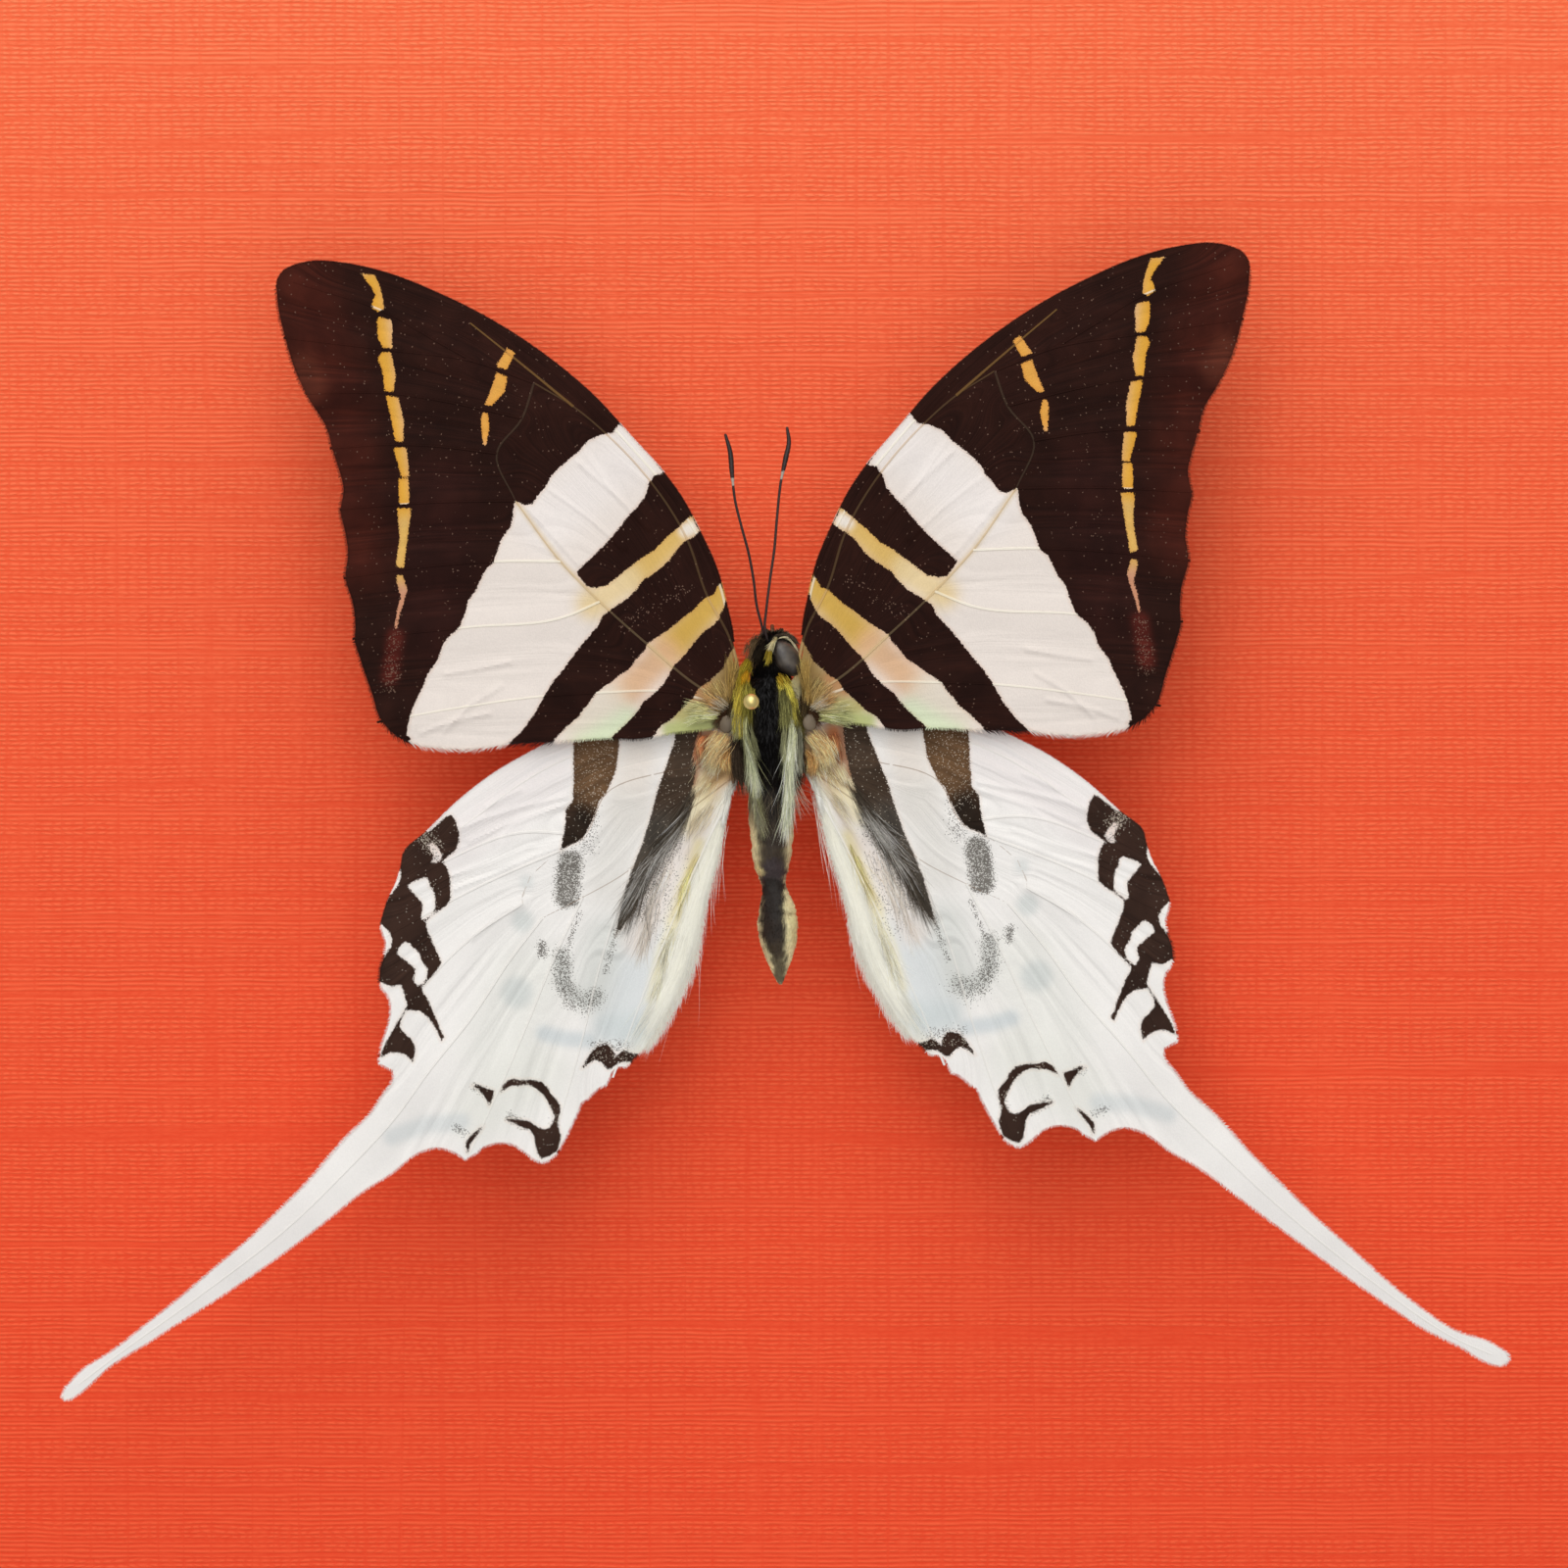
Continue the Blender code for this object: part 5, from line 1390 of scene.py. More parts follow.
def plainMaterial(name, looks):
    # horn-like skin with fine grain, a darker patch here and there, and a paler band where asked
    material, tree, shader = newMaterial(name, Roughness=looks["roughness"])
    grain = useGroup(tree, scaleGrain, {"Scales per Metre": looks["scales"], "Stretch": 1.0})
    cloud = span(tree, grain.outputs["Patch"], 0.35, 0.65)
    tone = blend(tree, cloud, rgba(looks["deepTone"]), rgba(looks["tone"]))
    tone = blend(tree, readAttribute(tree, "band"), tone, rgba(looks["bandTone"]))
    tree.links.new(tone, shader.inputs["Base Color"])
    setBump(tree, shader, grain.outputs["Grain"], 0.3, 0.00004)
    return material


feelers = {
    "left": [
        (781, 656, 28.9), (778.5, 643, 29.1), (772, 617, 29.5), (769, 592, 30.0), (764, 565, 30.4),
        (756.5, 537, 30.8), (750, 510, 31.0), (747, 483, 31.1), (745, 461, 31.2), (740, 443, 31.2),
    ],
    "right": [
        (784, 656, 29.7), (780.5, 640, 30.1), (782, 622, 30.4), (786, 590, 30.6), (790, 562, 30.8),
        (793, 527, 31.0), (797, 491, 31.1), (802, 467, 31.2), (805, 452, 31.2), (803, 436, 31.2),
    ],
    "radius": 0.125, "club": 0.245, "clubLength": 4.6, "tipTimes": 0.45,
    "joint": 0.42, "jointDepth": 0.10, "jointWidth": 0.06,
    "bandFrom": 4.2, "bandTo": 5.0, "bandStrength": 0.75, "tone": (44, 26, 20), "deepTone": (26, 15, 12),
}


def makeFeeler(name, route, material, node):
    path = smoothPath([place(*spot) for spot in route], 0.105)
    steps = np.linalg.norm(np.diff(path, axis=0), axis=1)
    walked = np.concatenate([[0.0], np.cumsum(steps)])
    fromTip = walked[-1] - walked
    swelling = np.sin(math.pi * np.clip(1 - fromTip / feelers["clubLength"], 0, 1) ** 0.75)
    radii = feelers["radius"] + (feelers["club"] - feelers["radius"]) * np.maximum(swelling, 0)
    neck = np.exp(-((np.mod(walked, feelers["joint"]) / feelers["jointWidth"]) ** 2))
    radii *= 1 - feelers["jointDepth"] * neck
    radii[-1] *= feelers["tipTimes"]
    feeler = layCurve(path, radii, 1)
    spots = coordinates(feeler.data)
    tipGap = np.linalg.norm(spots - path[-1], axis=1)
    band = ((tipGap > feelers["bandFrom"]) & (tipGap < feelers["bandTo"])).astype(float)
    addValues(feeler.data, "band", band * feelers["bandStrength"])
    return finishPiece(feeler, name, material, "feeler", node, smoothAngle=60.0)


tongue = {
    "hub": (788.0, 655.0, 24.2), "turns": 2.6, "start": 1.72, "end": 0.35, "knots": 190,
    "radius": 0.17, "ring": 0.14,
}


def makeTongue(material):
    hub = np.array(place(*tongue["hub"]))
    share = np.linspace(0.0, 1.0, tongue["knots"])
    angle = math.radians(90) + tongue["turns"] * math.tau * share
    radius = tongue["start"] - (tongue["start"] - tongue["end"]) * share
    coil = hub + np.column_stack([0 * share, -radius * np.cos(angle), radius * np.sin(angle)])
    path = np.vstack([hub + (0, 0.2, 3.2), hub + (0, 0.05, 2.4), coil])
    radii = np.full(len(path), tongue["radius"]) * np.linspace(1.15, 0.55, len(path))
    radii[2::3] *= 1 - tongue["ring"]
    piece = layCurve(path, radii, 2)
    addValues(piece.data, "band", np.zeros(len(piece.data.vertices)))
    return finishPiece(piece, "tongue", material, "leg", "proboscis", smoothAngle=60.0)


palps = {
    "level": 27.1, "place": (788.0, 649.0), "apart": 0.72, "half": (0.34, 0.55, 0.85), "lean": 0.22,
    "tone": (46, 36, 28), "hairTone": (60, 49, 38), "hairs": 260, "hair": 0.28, "hairWidth": 0.06,
}


def makePalp(side, name, material, node):
    deselectAll()
    bpy.ops.mesh.primitive_uv_sphere_add(segments=20, ring_count=12, radius=1.0)
    palp = bpy.context.object
    centre = place(*palps["place"], palps["level"]) + Vector((palps["apart"] * side, 0, 0))
    spots = coordinates(palp.data) * np.array(palps["half"])
    spots[:, 1] += palps["lean"] * spots[:, 2] / palps["half"][2]
    setCoordinates(palp.data, spots + np.array(centre))
    roots, normals = sampleSkin(palp.data, palps["hairs"])
    heading = normals * 0.6 + np.array([0.0, 0.55, 0.35])
    share = np.linspace(0, 1, strandSettings["knots"])[None, :, None]
    lengths = palps["hair"] * rng.uniform(0.6, 1.2, len(roots))
    paths = roots[:, None, :] + heading[:, None, :] * lengths[:, None, None] * share
    dark = vary(np.tile(linear(palps["hairTone"]), (len(roots), 1)), 0.3)
    hair = buildStrands(paths, np.full(len(roots), palps["hairWidth"]), dark, dark * 1.6, bodyPatch(roots))
    addColours(palp.data, "tone", np.tile(linear(palps["tone"]), (len(palp.data.vertices), 1)))
    piece = joinPieces([palp, hair])
    return finishPiece(piece, name, material, "body_hair", node)


sidePlates = {
    "left": (741.0, 739.0, 29.95), "right": (826.5, 737.0, 29.95), "half": (0.74, 0.86, 0.36), "tilt": 18.0,
    "tone": (128, 112, 90), "deepTone": (98, 84, 66),
}


def makePlate(side, name, material):
    # a bare, smooth plate of the body between the roots of the wings
    plate = makeBall(24, 14, sidePlates["half"])
    turn = Matrix.Rotation(math.radians(sidePlates["tilt"] * side), 4, "Y")
    plate.data.transform(Matrix.Translation(place(*sidePlates["left" if side < 0 else "right"])) @ turn)
    addValues(plate.data, "band", np.zeros(len(plate.data.vertices)))
    return finishPiece(plate, name, material, "leg")


# distance from the body's middle line, photo y and level of each joint
legs = {
    "fore": [(1.3, 706, 26.6), (2.8, 692, 24.2), (2.9, 735, 22.8), (1.2, 770, 22.4)],
    "mid": [(1.6, 738, 26.2), (4.4, 728, 23.6), (3.6, 770, 22.0), (1.6, 806, 21.6)],
    "hind": [(1.5, 765, 26.4), (4.2, 769, 24.6), (1.6, 808, 23.6), (0.8, 862, 22.9)],
    "radii": (0.40, 0.24, 0.17, 0.11), "swellings": (0.28, 0.12, 0.12), "ends": 0.82, "tarsalJoints": 5,
    "claw": (0.22, 0.45, -0.25), "clawRadii": (0.07, 0.02),
    "tone": (122, 92, 56), "deepTone": (72, 50, 30),
}


def makeLeg(name, side, route, material, node):
    # thigh and shin swell in their middles, and the foot has five joints and two claws
    middle = place(reading["bodyLine"], 0).x
    joints = np.array([(middle + side * reach, place(0, y).y, z) for reach, y, z in route])
    pieces = []
    for part in range(3):
        start, end = joints[part], joints[part + 1]
        thick, thin = legs["radii"][part], legs["radii"][part + 1]
        count = legs["tarsalJoints"] if part == 2 else 1
        for k in range(count):
            a = start + (end - start) * k / count
            b = start + (end - start) * (k + 1) / count
            share = np.linspace(0.0, 1.0, 9)
            low = thick + (thin - thick) * k / count
            high = thick + (thin - thick) * (k + 1) / count
            swell = 1.0 + legs["swellings"][part] * np.sin(math.pi * share)
            ends = np.where((share == 0) | (share == 1), legs["ends"], 1.0)
            path = a + (b - a) * share[:, None]
            pieces.append(layCurve(path, (low + (high - low) * share) * swell * ends, 1))
    tip, heading = joints[-1], joints[-1] - joints[-2]
    heading = heading / np.linalg.norm(heading)
    apart, length, drop = legs["claw"]
    share = np.linspace(0.0, 1.0, 7)[:, None]
    for turn in (-1, 1):
        claw = tip + heading * length * share + np.array([turn * apart, 0.0, 0.0]) * share
        claw += np.array([0.0, 0.0, drop]) * share**2
        pieces.append(layCurve(claw, np.linspace(*legs["clawRadii"], 7), 0))
    leg = joinPieces(pieces)
    addValues(leg.data, "band", np.zeros(len(leg.data.vertices)))
    return finishPiece(leg, name, material, "leg", node, smoothAngle=50.0)


pinLooks = {
    "place": (767.0, 717.0), "foot": 5.3, "top": 40.5, "radius": 0.22, "headRadius": 0.74,
    "tone": (246, 230, 160), "deepTone": (222, 196, 118),
}


def makePin():
    material, tree, shader = newMaterial("brass", Metallic=1.0)
    scratch = noise(tree, objectCoords(tree, (900.0, 900.0, 9000.0)), 1.0, 3.0)
    tone = blend(tree, span(tree, scratch, 0.35, 0.65), rgba(pinLooks["deepTone"]), rgba(pinLooks["tone"]))
    tree.links.new(tone, shader.inputs["Base Color"])
    tree.links.new(span(tree, scratch, 0.3, 0.7, 0.36, 0.5), shader.inputs["Roughness"])
    deselectAll()
    height = pinLooks["top"] - pinLooks["foot"]
    bpy.ops.mesh.primitive_cylinder_add(
        vertices=24, radius=pinLooks["radius"], depth=height, end_fill_type="NGON",
        location=place(*pinLooks["place"], pinLooks["foot"] + height / 2),
    )
    shaft = bpy.context.object
    bpy.ops.object.transform_apply(location=True, rotation=True, scale=True)
    spots = coordinates(shaft.data)
    low = spots[:, 2] < pinLooks["foot"] + 0.01
    centre = np.array(place(*pinLooks["place"]))
    spots[low, :2] = centre[:2] + (spots[low, :2] - centre[:2]) * 0.2
    setCoordinates(shaft.data, spots)
    bpy.ops.mesh.primitive_uv_sphere_add(
        segments=40, ring_count=24, radius=pinLooks["headRadius"],
        location=place(*pinLooks["place"], pinLooks["top"]),
    )
    knob = bpy.context.object
    bpy.ops.object.transform_apply(location=True, rotation=True, scale=True)
    piece = joinPieces([shaft, knob])
    return finishPiece(piece, "brass_pin", material, "brass", "pin")


skinMaterial = makeSkinMaterial("bodySkin", {
    "roughness": 0.6, "specular": 0.3, "scales": 5000.0, "bump": 0.5})
skin = makeBodySkin()
addColours(skin.data, "tone", bodyTone(coordinates(skin.data), vertexNormals(skin.data)))
print("body skin made")

for name, piece in growCoat(skin).items():
    finishPiece(piece, name, bodyHair, "head_hair" if name == "coat_head" else "body_hair")
print("coat grown")

eyeMaterial = makeEyeMaterial()
makeEye(1, "eye_dome_right", eyeMaterial, "eye_right")
makeEye(-1, "eye_dome_left", eyeMaterial, "eye_left")
feelerMaterial = plainMaterial("feelerHorn", {
    "roughness": 0.45, "scales": 7000.0, "tone": feelers["tone"], "deepTone": feelers["deepTone"],
    "bandTone": (196, 186, 170)})
plateMaterial = plainMaterial("plateHorn", {
    "roughness": 0.62, "scales": 2500.0, "tone": sidePlates["tone"], "deepTone": sidePlates["deepTone"],
    "bandTone": sidePlates["tone"]})
legMaterial = plainMaterial("legHorn", {
    "roughness": 0.5, "scales": 7000.0, "tone": legs["tone"], "deepTone": legs["deepTone"],
    "bandTone": legs["tone"]})
makeFeeler("feeler_left", feelers["left"], feelerMaterial, "antenna_left")
makeFeeler("feeler_right", feelers["right"], feelerMaterial, "antenna_right")
makeTongue(legMaterial)
makePin()
for side, sideName in ((-1, "left"), (1, "right")):
    makePlate(side, "side_plate_" + sideName, plateMaterial)
    makePalp(side, "palp_hairy_" + sideName, bodyHair, "palp_" + sideName)
    for which in ("fore", "mid", "hind"):
        makeLeg("leg_" + which + "_jointed_" + sideName, side, legs[which], legMaterial,
                "leg_" + which + "_" + sideName)
finishPiece(skin, "body_skin", skinMaterial, "body_hair", "thorax", "head", "abdomen")
print("eyes, feelers, legs and pin made")


# Locks of long hair, in photo pixels and millimetres of height

def photoToModel(flat):
    x, y = (flat[:, 0] - reading["middle"]) * pixel, (reading["middle"] - flat[:, 1]) * pixel
    return np.column_stack([x, y])


bodyLocks = [
    # shoulders
    lock(420, 5.0, 0.45, (136, 116, 26), (180, 158, 58), (767, 672, 29.8), (762, 680, 30.2),
         (758, 692, 30.5), (756, 704, 30.7)),
    lock(90, 3.0, 0.6, (182, 132, 24), (211, 166, 46), (764, 683, 30.5), (761, 690, 30.8),
         (759, 698, 30.9)),
    lock(1000, 6.6, 0.32, (166, 145, 52), (208, 188, 86), (760, 694, 30.6), (757, 708, 30.9),
         (755, 726, 31.0), (755, 746, 30.9)),
    lock(260, 6.0, 0.4, (136, 130, 84), (176, 172, 130), (757, 716, 30.9), (753, 732, 31.0),
         (752, 752, 30.8)),
    lock(280, 4.0, 0.4, (118, 108, 43), (168, 158, 74), (765, 690, 30.9), (763, 712, 31.2),
         (760, 738, 31.2)),
    lock(150, 4.5, 0.6, (146, 116, 26), (184, 154, 54), (794, 685, 30.2), (798, 693, 30.6),
         (802, 702, 30.8)),
    lock(940, 5.0, 0.32, (186, 168, 66), (224, 208, 98), (795, 689, 30.4), (801.5, 704, 30.9),
         (805.5, 720, 31.1), (807, 736, 31.0)),
    lock(360, 5.0, 0.4, (101, 96, 53), (158, 156, 98), (797, 700, 31.1), (801, 720, 31.4),
         (802, 744, 31.3)),
    # streams of silver hair over the base of the abdomen
    lock(500, 2.2, 0.3, (144, 142, 98), (184, 184, 140), (762, 726, 31.2), (760, 740, 31.5),
         (762, 758, 31.4), (766, 776, 31.0), (769, 796, 30.6), (771, 816, 30.2), (776, 842, 29.9),
         loose=0.8),
    # a lighter lock along the middle of the left stream: a painted highlight on its crest
    lock(120, 1.8, 0.5, (186, 188, 150), (220, 222, 190), (758, 745, 31.6), (762, 762, 31.6),
         (768, 784, 31.3), (771, 808, 30.8), loose=0.8),
    lock(90, 2.2, 0.5, (100, 98, 66), (144, 144, 108), (766, 738, 31.4), (769, 756, 31.3),
         (773, 774, 31.0), loose=0.6),
    lock(110, 3.0, 0.5, (140, 136, 108), (176, 170, 144), (768, 806, 30.5), (772, 826, 30.2),
         (778, 850, 29.9)),
    lock(800, 3.4, 0.32, (214, 215, 170), (246, 250, 222), (808, 728, 31.2), (809, 746, 31.5),
         (807, 766, 31.4), (805, 790, 31.0), (804, 818, 30.5), (802, 848, 30.0), fan=0.6, loose=0.6),
    lock(170, 2.8, 0.45, (124, 122, 100), (164, 162, 140), (815, 740, 31.0), (816, 762, 30.7),
         (815, 786, 30.2), loose=0.8),
    lock(170, 2.6, 0.5, (140, 138, 98), (190, 190, 150), (801, 738, 31.5), (800, 758, 31.4),
         (800, 780, 31.0), loose=0.6),
    lock(44, 6.0, 0.9, (150, 140, 116), (200, 190, 168), (804, 790, 30.9), (811, 812, 30.2),
         (817, 832, 29.6), width=0.028, loose=2.0),
    lock(70, 12.0, 0.5, (60, 50, 38), (130, 116, 92), (786, 800, 30.9), (786, 824, 30.3), (787, 850, 29.9),
         width=0.026, loose=2.0),
    # head, with the pale rim of its upper eye
    lock(170, 3.0, 0.5, (138, 112, 26), (196, 174, 70), (789, 657, 30.3), (785, 664, 30.6),
         (784, 676, 30.6)),
    lock(140, 2.2, 0.55, (196, 182, 134), (226, 214, 168), (793, 649, 30.0), (789, 655, 30.5),
         (785, 663, 30.7)),
    lock(330, 6.0, 0.35, (70, 54, 36), (150, 124, 88), (778, 647, 29.6), (771, 655, 29.6),
         (766, 666, 29.6), (763, 676, 29.6)),
    lock(300, 6.0, 0.4, (22, 17, 13), (52, 42, 30), (781, 652, 30.0), (775, 662, 30.1), (770, 674, 30.1)),
    lock(200, 2.2, 0.3, (56, 45, 36), (112, 98, 80), (788, 650, 29.8), (797, 648, 29.5), (808, 650, 29.2),
         (814, 657, 29.0), loose=0.8),
    lock(220, 1.1, 0.14, (190, 176, 140), (214, 202, 168), (793, 653, 29.9), (797, 651, 29.8),
         (802, 651, 29.7), (808, 655, 29.6), (812.7, 661.5, 29.5), (816, 669, 29.4), (817.3, 676, 29.3),
         lift=0.03, depth=0.06, loose=0.5),
]
wingRootLocks = [
    # hair where the wings leave the body, drawn for the left side and mirrored: up from the forewing's root
    lock(240, 4.0, 0.5, (156, 124, 66), (190, 160, 94), (743, 722, 30.3), (746, 700, 30.4),
         (749, 674, 30.3)),
    lock(290, 5.0, 0.5, (168, 138, 84), (204, 176, 116), (741, 722, 30.3), (736, 708, 30.4),
         (729, 696, 30.3), fan=2.0),
    lock(280, 4.5, 0.5, (184, 146, 90), (212, 172, 122), (739, 724, 30.3), (728, 716, 30.4),
         (716, 708, 30.3), fan=2.0),
    lock(54, 7.0, 0.7, (190, 176, 148), (222, 210, 186), (743, 726, 30.7), (734, 721, 30.8),
         (724, 717, 30.7), fan=1.6, width=0.022, loose=1.2),
    lock(240, 4.0, 0.5, (204, 192, 132), (224, 218, 162), (736, 727, 30.2), (718, 724, 30.3),
         (701, 723, 30.2), fan=1.6),
    lock(260, 3.6, 0.5, (196, 194, 130), (222, 226, 168), (734, 731, 30.2), (717, 732, 30.3),
         (700, 735, 30.2), fan=1.4),
    # dark brown hair in the hollows beside the body: painted shade where the wing roots meet the body
    lock(200, 4.5, 0.5, (58, 38, 26), (96, 68, 46), (746, 716, 30.0), (740, 725, 29.9), (731, 739, 29.9)),
    lock(260, 4.0, 0.5, (54, 42, 28), (88, 72, 46), (748, 698, 30.1), (747, 715, 30.2), (749, 733, 30.2)),
    lock(360, 5.0, 0.5, (50, 39, 31), (86, 72, 56), (752, 748, 30.0), (752, 768, 29.8), (754, 790, 29.4),
         (758, 808, 29.2)),
    # peach, orange and tan hair of the hindwing's root
    lock(400, 10.0, 0.5, (230, 188, 126), (253, 228, 176), (743, 746, 29.8), (736, 756, 29.9),
         (728, 767, 29.7), (722, 780, 29.4)),
    lock(170, 4.0, 0.5, (202, 126, 78), (224, 168, 118), (722, 748, 29.4), (716, 758, 29.4),
         (717, 774, 29.3)),
    lock(110, 2.6, 0.4, (170, 104, 68), (196, 150, 116), (716, 744, 29.0), (712, 760, 28.9),
         (710, 780, 28.9), width=0.03),
    lock(240, 6.0, 0.5, (206, 154, 88), (236, 194, 134), (745, 762, 29.7), (740, 775, 29.5),
         (742, 789, 29.2)),
    lock(120, 12.0, 0.35, (248, 224, 170), (255, 244, 208), (736, 768, 29.1), (725, 782, 28.9),
         (713, 802, 28.9), fan=1.2, width=0.03),
]


rightShift = -3.0  # pixels that the right wings' roots lie off the mirrored left ones


def mirrored(tuft, shift):
    line = 2 * reading["bodyLine"] + shift
    return {**tuft, "path": [(line - x, y, z) for x, y, z in tuft["path"]]}


def growBodyLocks():
    groups = [growLock(tuft, photoToModel) for tuft in bodyLocks]
    strands = mergeStrands(groups)
    piece = buildStrands(*strands, bodyPatch(strands[0][:, 0]))
    finishPiece(piece, "long_hair_body", bodyHair, "body_hair")
    for side, sideName in ((-1, "left"), (1, "right")):
        tufts = wingRootLocks
        if side > 0:
            tufts = [mirrored(tuft, rightShift) for tuft in wingRootLocks]
        strands = mergeStrands([growLock(tuft, photoToModel) for tuft in tufts])
        piece = buildStrands(*strands, bodyPatch(strands[0][:, 0]))
        finishPiece(piece, "wing_root_hair_" + sideName, bodyHair, "body_hair")


growBodyLocks()
print("locks of the body grown")


# Hair and fringes of the wings

wingFringe = {
    "pitch": 0.10, "length": 0.3, "width": 0.07, "slant": 20.0, "frontTimes": 0.35,
    "foldFirst": (662, 1069), "foldLast": (749, 800), "foldCount": 2900, "foldWidth": 0.036,
    "foldRoot": (232, 228, 214), "foldTip": (250, 247, 238),
    "longFrom": (385, 410, 550, 600), "longTimes": (1.0, 2.6, 2.6, 1.0), "longSlant": 24.0, "rearFrom": 735,
    "foldFullness": ([800, 830, 930, 975, 1040, 1075], [0.7, 0.3, 0.45, 1.15, 1.35, 0.9]),
}
hindwingLocks = [
    # hair over the first band, the yellow streaks, and the silky fold
    lock(528, 6.0, 0.3, (66, 56, 46), (104, 94, 80), (712, 800, 0.16), (696, 832, 0.18), (672, 872, 0.16),
         (650, 912, 0.14), (634, 950, 0.1), width=0.025, depth=0.06),
    lock(144, 7.0, 0.35, (150, 144, 134), (216, 212, 204), (706, 818, 0.22), (690, 846, 0.24),
         (664, 886, 0.2), (638, 932, 0.16), width=0.028, depth=0.08, curl=1.5),
    lock(90, 4.0, 0.4, (218, 202, 134), (236, 222, 164), (713, 864, 0.1), (704, 890, 0.1), (694, 920, 0.1),
         (690, 934, 0.1), width=0.025, depth=0.03, lift=0.03),
    lock(180, 7.0, 0.3, (238, 230, 198), (248, 242, 218), (690, 940, 0.1), (680, 974, 0.1),
         (668, 1020, 0.1), width=0.03, depth=0.03, lift=0.03),
    lock(1500, 5.0, 0.3, (238, 235, 220), (250, 248, 238), (744, 806, 0.08), (733, 848, 0.08),
         (726, 872, 0.08), (713, 910, 0.08), (702, 950, 0.08), (688, 996, 0.08), (662, 1046, 0.08),
         width=0.036, depth=0.015, fan=1.5, contrast=0.15, curl=0.3, lift=0.02, loose=0.6),
    lock(110, 2.0, 0.5, (236, 232, 218), (252, 250, 242), (747, 798, 0.2), (742, 818, 0.2),
         (737, 840, 0.14), contrast=0.3, depth=0.1, loose=0.6),
    lock(90, 10.0, 0.4, (214, 196, 160), (236, 224, 200), (740, 806, 0.16), (722, 832, 0.16),
         (706, 858, 0.14), width=0.025, depth=0.04),
    lock(240, 9.0, 0.25, (222, 210, 196), (238, 228, 214), (690, 870, 0.08), (668, 920, 0.08),
         (650, 980, 0.08), width=0.025, depth=0.03, lift=0.03),
]


def wingTones(marks, spots):
    # the colour of the scales at places read in left-wing pixels
    pale = paintWashes(spots, marks["ground"], marks["paleWashes"])
    ink = paintWashes(spots, marks["inkGround"], marks["inkWashes"])
    mask = (inkDepth(spots, marks) > 0)[:, None]
    return np.where(mask, ink, pale)


def growFringe(wing, marks, side):
    # short scales along the whole outline
    ring = wingRing(wing, side, wingFringe["pitch"], wingSheet["fringe"])
    ahead, out = ringFrame(ring)
    back = ahead * np.where(ahead[:, 1] < 0, 1.0, -1.0)[:, None]
    count = len(ring)
    slant = wingFringe["slant"] + rng.normal(0, 12, count)
    lengths = wingFringe["length"] * rng.uniform(0.75, 1.15, count)
    spots = toReading(wing, side, ring)
    front = lineDistance(spots, wing["runs"][0])[0] < 4.0
    lengths *= np.where(front, wingFringe["frontTimes"], 1.0)
    if wing is forewing:
        longer = np.interp(spots[:, 0], wingFringe["longFrom"], wingFringe["longTimes"])
        longer = np.where(spots[:, 1] > wingFringe["rearFrom"], longer, 1.0)
        lengths *= longer
        slant += wingFringe["longSlant"] * (longer - 1.0)
    slant = np.radians(slant)[:, None]
    heading = out * np.cos(slant) + back * np.sin(slant)
    share = np.linspace(-0.25, 1.0, strandSettings["knots"])[None, :, None]
    flat = ring[:, None, :] + heading[:, None, :] * lengths[:, None, None] * share
    level = wingLevel(ring, wing["drop"])[:, None, None] + rng.normal(0, 0.02, (count, 1, 1))
    level = level + 0 * flat[:, :, :1]
    tones = vary(wingTones(marks, toReading(wing, side, ring - out * 0.1)), 0.12)
    widths = wingFringe["width"] * rng.uniform(0.7, 1.3, count)
    return np.concatenate([flat, level], axis=2), widths, tones, tones


def growFold(side):
    # long white hair that leans out and back from the hindwing's inner margin
    margin = smoothPath(toModel(hindwing, side, hindwing["runs"][-1]), 0.3)
    first, last = toModel(hindwing, side, [wingFringe["foldFirst"], wingFringe["foldLast"]])
    margin = margin[(margin[:, 1] >= first[1]) & (margin[:, 1] <= last[1])]
    count = wingFringe["foldCount"]
    where = rng.uniform(0, len(margin) - 1.001, count)
    low = where.astype(int)
    part = (where - low)[:, None]
    roots = margin[low] * (1 - part) + margin[low + 1] * part
    back = margin[low] - margin[low + 1]
    back /= np.linalg.norm(back, axis=1)[:, None]
    out = np.column_stack([back[:, 1], -back[:, 0]]) * -side
    out *= np.where(out[:, :1] * -side > 0, 1.0, -1.0)
    py = toReading(hindwing, side, roots)[:, 1]
    fullness = np.interp(py, *wingFringe["foldFullness"])
    lengths = fullness * rng.uniform(0.6, 1.25, count)
    splay = np.radians(rng.normal(36, 12, count))
    share = np.linspace(0.0, 1.0, strandSettings["knots"])[None, :, None]
    bend = (splay[:, None] * (1.2 - 0.5 * share[:, :, 0]))[:, :, None]
    heading = back[:, None, :] * np.cos(bend) + out[:, None, :] * np.sin(bend)
    roots = roots - out * rng.uniform(0.05, 0.7, (count, 1))
    flat = roots[:, None, :] + heading * lengths[:, None, None] * share
    level = wingLevel(roots, hindwing["drop"])[:, None, None]
    level = level + rng.normal(0, 0.12, (count, 1, 1)) * share + 0.05
    tones = [vary(np.tile(linear(wingFringe[key]), (count, 1)), 0.08) for key in ("foldRoot", "foldTip")]
    widths = wingFringe["foldWidth"] * rng.uniform(0.7, 1.3, count)
    return np.concatenate([flat, level], axis=2), widths, *tones


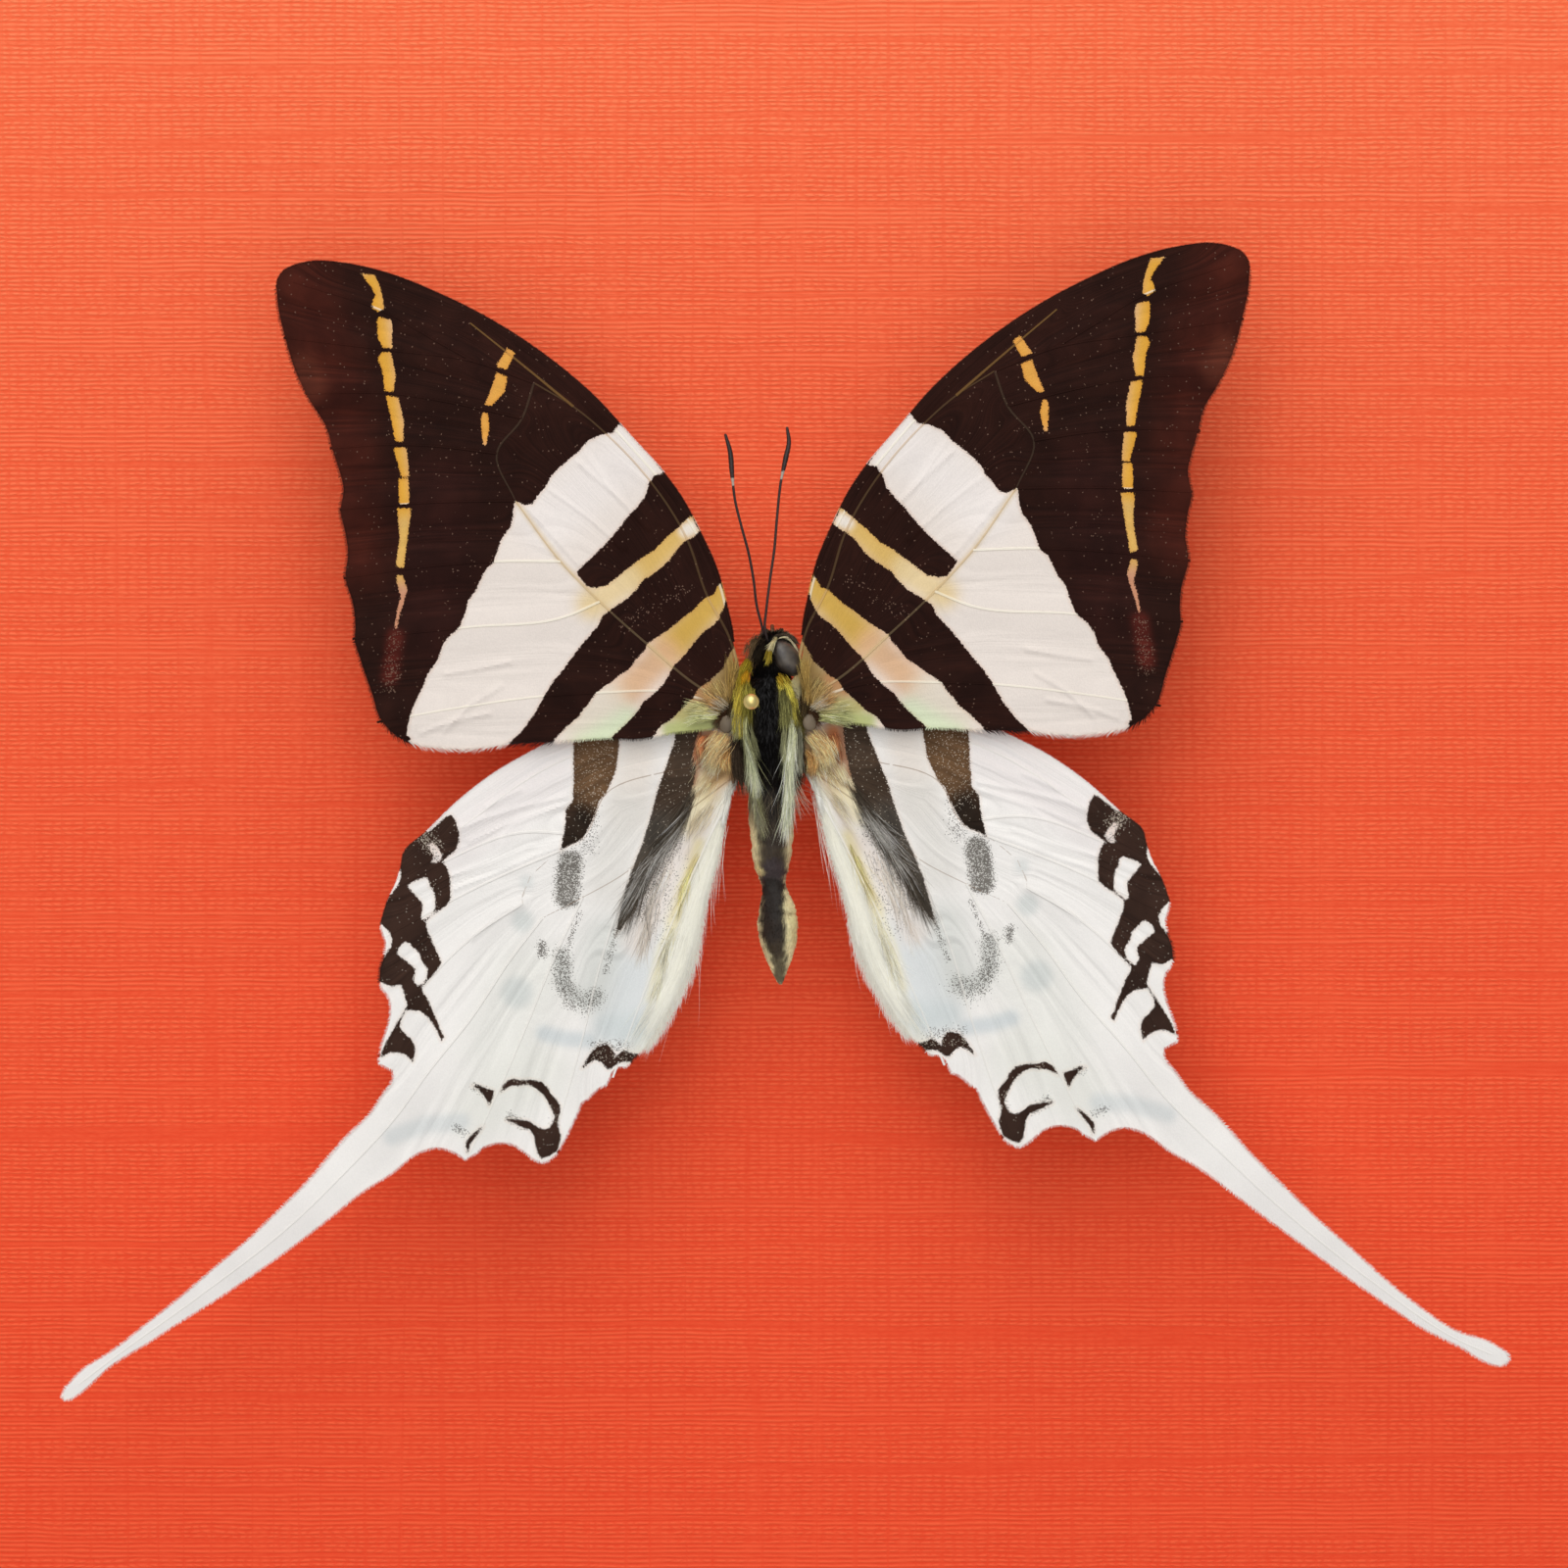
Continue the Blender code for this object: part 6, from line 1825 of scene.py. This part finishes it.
def growWingHair(wing, marks, side, name, tufts, slot):
    groups = [growFringe(wing, marks, side)]
    for tuft in tufts:
        paths, widths, roots, tips = growLock(tuft, lambda flat: toModel(wing, side, flat))
        flat = paths[:, :, :2].reshape(-1, 2)
        surface = wingLevel(flat, wing["drop"]) + wingRelief(toReading(wing, side, flat), wing)
        paths[:, :, 2] += surface.reshape(len(paths), -1)
        groups.append((paths, widths, roots, tips))
    if wing is hindwing:
        groups.append(growFold(side))
    strands = mergeStrands(groups)
    piece = buildStrands(*strands, wingPatch(wing, side, strands[0][:, 0]))
    finishPiece(piece, name, wingHair, slot)


for side, sideName in ((-1, "left"), (1, "right")):
    growWingHair(forewing, forewingMarks, side, "fringe_fore_" + sideName, [], "forewing_scales")
    growWingHair(hindwing, hindwingMarks, side, "fringe_hind_" + sideName, hindwingLocks, "hindwing_scales")
print("fringes and wing hair grown")


# Board, floor, light and camera

linen = {
    # top and bottom tones of a painted light gradient: lighter and yellower at the top, painted shade towards
    # the bottom
    "paintedLightTopTone": (255, 118, 75), "paintedShadeBottomTone": (245, 83, 46),
    # tints for painted shade in the sunken weave and painted highlight on the raised dashes
    "sunkenShadeTint": (0.91, 0.65, 0.54), "raisedHighlightTint": (1.06, 1.32, 1.42),
    "ribsPerMetre": 2208.0, "dashesPerMetre": 960.0, "uprightsPerMetre": 330.0, "levelsPerMetre": 420.0,
    "bump": 0.8,
}


def dressBoard():
    # embossed linen: rows of short raised dashes, smoother rows and bands, and fine sunken lines both ways;
    # its colour has painted shade in the sunken weave, painted highlight on the raised dashes, and a painted
    # light gradient that is lighter at the top and darker at the bottom
    material, tree, shader = newMaterial("orangeLinen", Roughness=0.75)
    shader.inputs["Specular IOR Level"].default_value = 0.2
    here = addNode(tree, "ShaderNodeTexCoord").outputs["Object"]
    axes = addNode(tree, "ShaderNodeSeparateXYZ", {0: here})

    def stripes(axis, perMetre, driftScale, wander):
        drift = sums(tree, "MULTIPLY", noise(tree, objectCoords(tree, driftScale), 1.0, 3.0), wander)
        turn = sums(tree, "MULTIPLY_ADD", axes.outputs[axis], perMetre * math.tau, drift)
        return span(tree, sums(tree, "SINE", turn), -1.0, 1.0)

    rib = stripes(1, linen["ribsPerMetre"], (120.0, 420.0, 100.0), 8.0)
    dash = stripes(0, linen["dashesPerMetre"], (400.0, 2300.0, 100.0), 14.0)
    upright = span(tree, stripes(0, linen["uprightsPerMetre"], (130.0, 5.0, 100.0), 16.0), 0.975, 1.0)
    level = span(tree, stripes(1, linen["levelsPerMetre"], (5.0, 170.0, 100.0), 20.0), 0.94, 1.0)
    lines = sums(tree, "MAXIMUM", sums(tree, "MULTIPLY", upright, 0.5), sums(tree, "MULTIPLY", level, 0.75))
    rows = span(tree, noise(tree, objectCoords(tree, (22.0, 640.0, 100.0)), 1.0, 2.0), 0.55, 0.63)
    bands = span(tree, noise(tree, objectCoords(tree, (560.0, 22.0, 100.0)), 1.0, 2.0), 0.54, 0.62)
    over = blend(tree, rows, span(tree, dash, 0.0, 0.7, 0.42, 1.0), (0.85, 0.85, 0.85, 1.0))
    woven = sums(tree, "MULTIPLY", rib, over)
    woven = blend(tree, sums(tree, "MULTIPLY", bands, 0.3), woven, (0.38, 0.38, 0.38, 1.0))
    woven = blend(tree, lines, woven, (0.1, 0.1, 0.1, 1.0))
    grain = noise(tree, objectCoords(tree, (500.0, 2600.0, 400.0)), 1.0, 3.0, 0.6)
    height = sums(tree, "MULTIPLY_ADD", woven, 0.7, sums(tree, "MULTIPLY", grain, 0.5))
    # painted light: the board is lighter and yellower towards the top and darker towards the bottom
    wash = sums(tree, "POWER", span(tree, axes.outputs[1], -0.075, 0.075), 1.6)
    tone = blend(tree, wash, rgba(linen["paintedShadeBottomTone"]), rgba(linen["paintedLightTopTone"]))
    # painted shade in the low parts of the weave and painted highlight on the raised dashes, following the
    # bump height
    weaveShadeAndHighlight = blend(tree, span(tree, height, 0.22, 0.88), (*linen["sunkenShadeTint"], 1.0), (*linen["raisedHighlightTint"], 1.0))
    tone = blend(tree, 1.0, tone, weaveShadeAndHighlight, "MULTIPLY")
    tree.links.new(tone, shader.inputs["Base Color"])
    setBump(tree, shader, height, linen["bump"], 0.0001)
    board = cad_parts["mount_board"]
    board.data.materials.clear()
    board.data.materials.append(material)


studio = {
    "cameraAbove": 0.90, "viewWidth": 0.1478, "wingPlane": 0.0300,
    "floorSide": 3.0, "floorTone": (228, 226, 222),
    "worldTone": (0.97, 0.97, 1.0), "worldStrength": 0.425,
    # place, size and power of each lamp
    "lamps": {
        "fillLight": ((0.0, 0.0, 0.90), 0.9, 2.15),
        "keyLight": ((0.0, 0.69, 0.58), 0.85, 2.8),
        "sideLight": ((-0.26, 0.45, 0.75), 0.85, 1.8),
    },
}


def makeStudio():
    deselectAll()
    bpy.ops.mesh.primitive_plane_add(size=studio["floorSide"], location=(0.0, 0.0, 0.0))
    floor = bpy.context.object
    floor.name = "studioFloor"
    material, _, shader = newMaterial("studioFloor", Roughness=0.8)
    shader.inputs["Base Color"].default_value = rgba(studio["floorTone"])
    floor.data.materials.append(material)

    def addLight(name, spot, size, power, target):
        lamp = bpy.data.lights.new(name, "AREA")
        lamp.shape = "DISK"
        lamp.size = size
        lamp.energy = power
        light = bpy.data.objects.new(name, lamp)
        light.location = spot
        light.rotation_euler = (Vector(target) - Vector(spot)).to_track_quat("-Z", "Y").to_euler()
        bpy.context.scene.collection.objects.link(light)

    target = (0.0, 0.0, studio["wingPlane"])
    for name, (spot, size, power) in studio["lamps"].items():
        addLight(name, spot, size, power, target)
    world = bpy.data.worlds.new("studioWorld")
    world.use_nodes = True
    backdrop = world.node_tree.nodes["Background"]
    backdrop.inputs["Color"].default_value = (*studio["worldTone"], 1.0)
    backdrop.inputs["Strength"].default_value = studio["worldStrength"]
    bpy.context.scene.world = world
    bpy.context.scene.view_settings.view_transform = "Standard"

    lens = bpy.data.cameras.new("camera")
    lens.sensor_width = 36.0
    lens.lens = 36.0 * studio["cameraAbove"] / studio["viewWidth"]
    lens.clip_start = 0.01
    camera = bpy.data.objects.new("camera", lens)
    camera.location = (0.0, 0.0, studio["wingPlane"] + studio["cameraAbove"])
    camera.rotation_euler = (0.0, 0.0, 0.0)
    bpy.context.scene.collection.objects.link(camera)
    bpy.context.scene.camera = camera


dressBoard()
makeStudio()
print("board, light and camera ready")
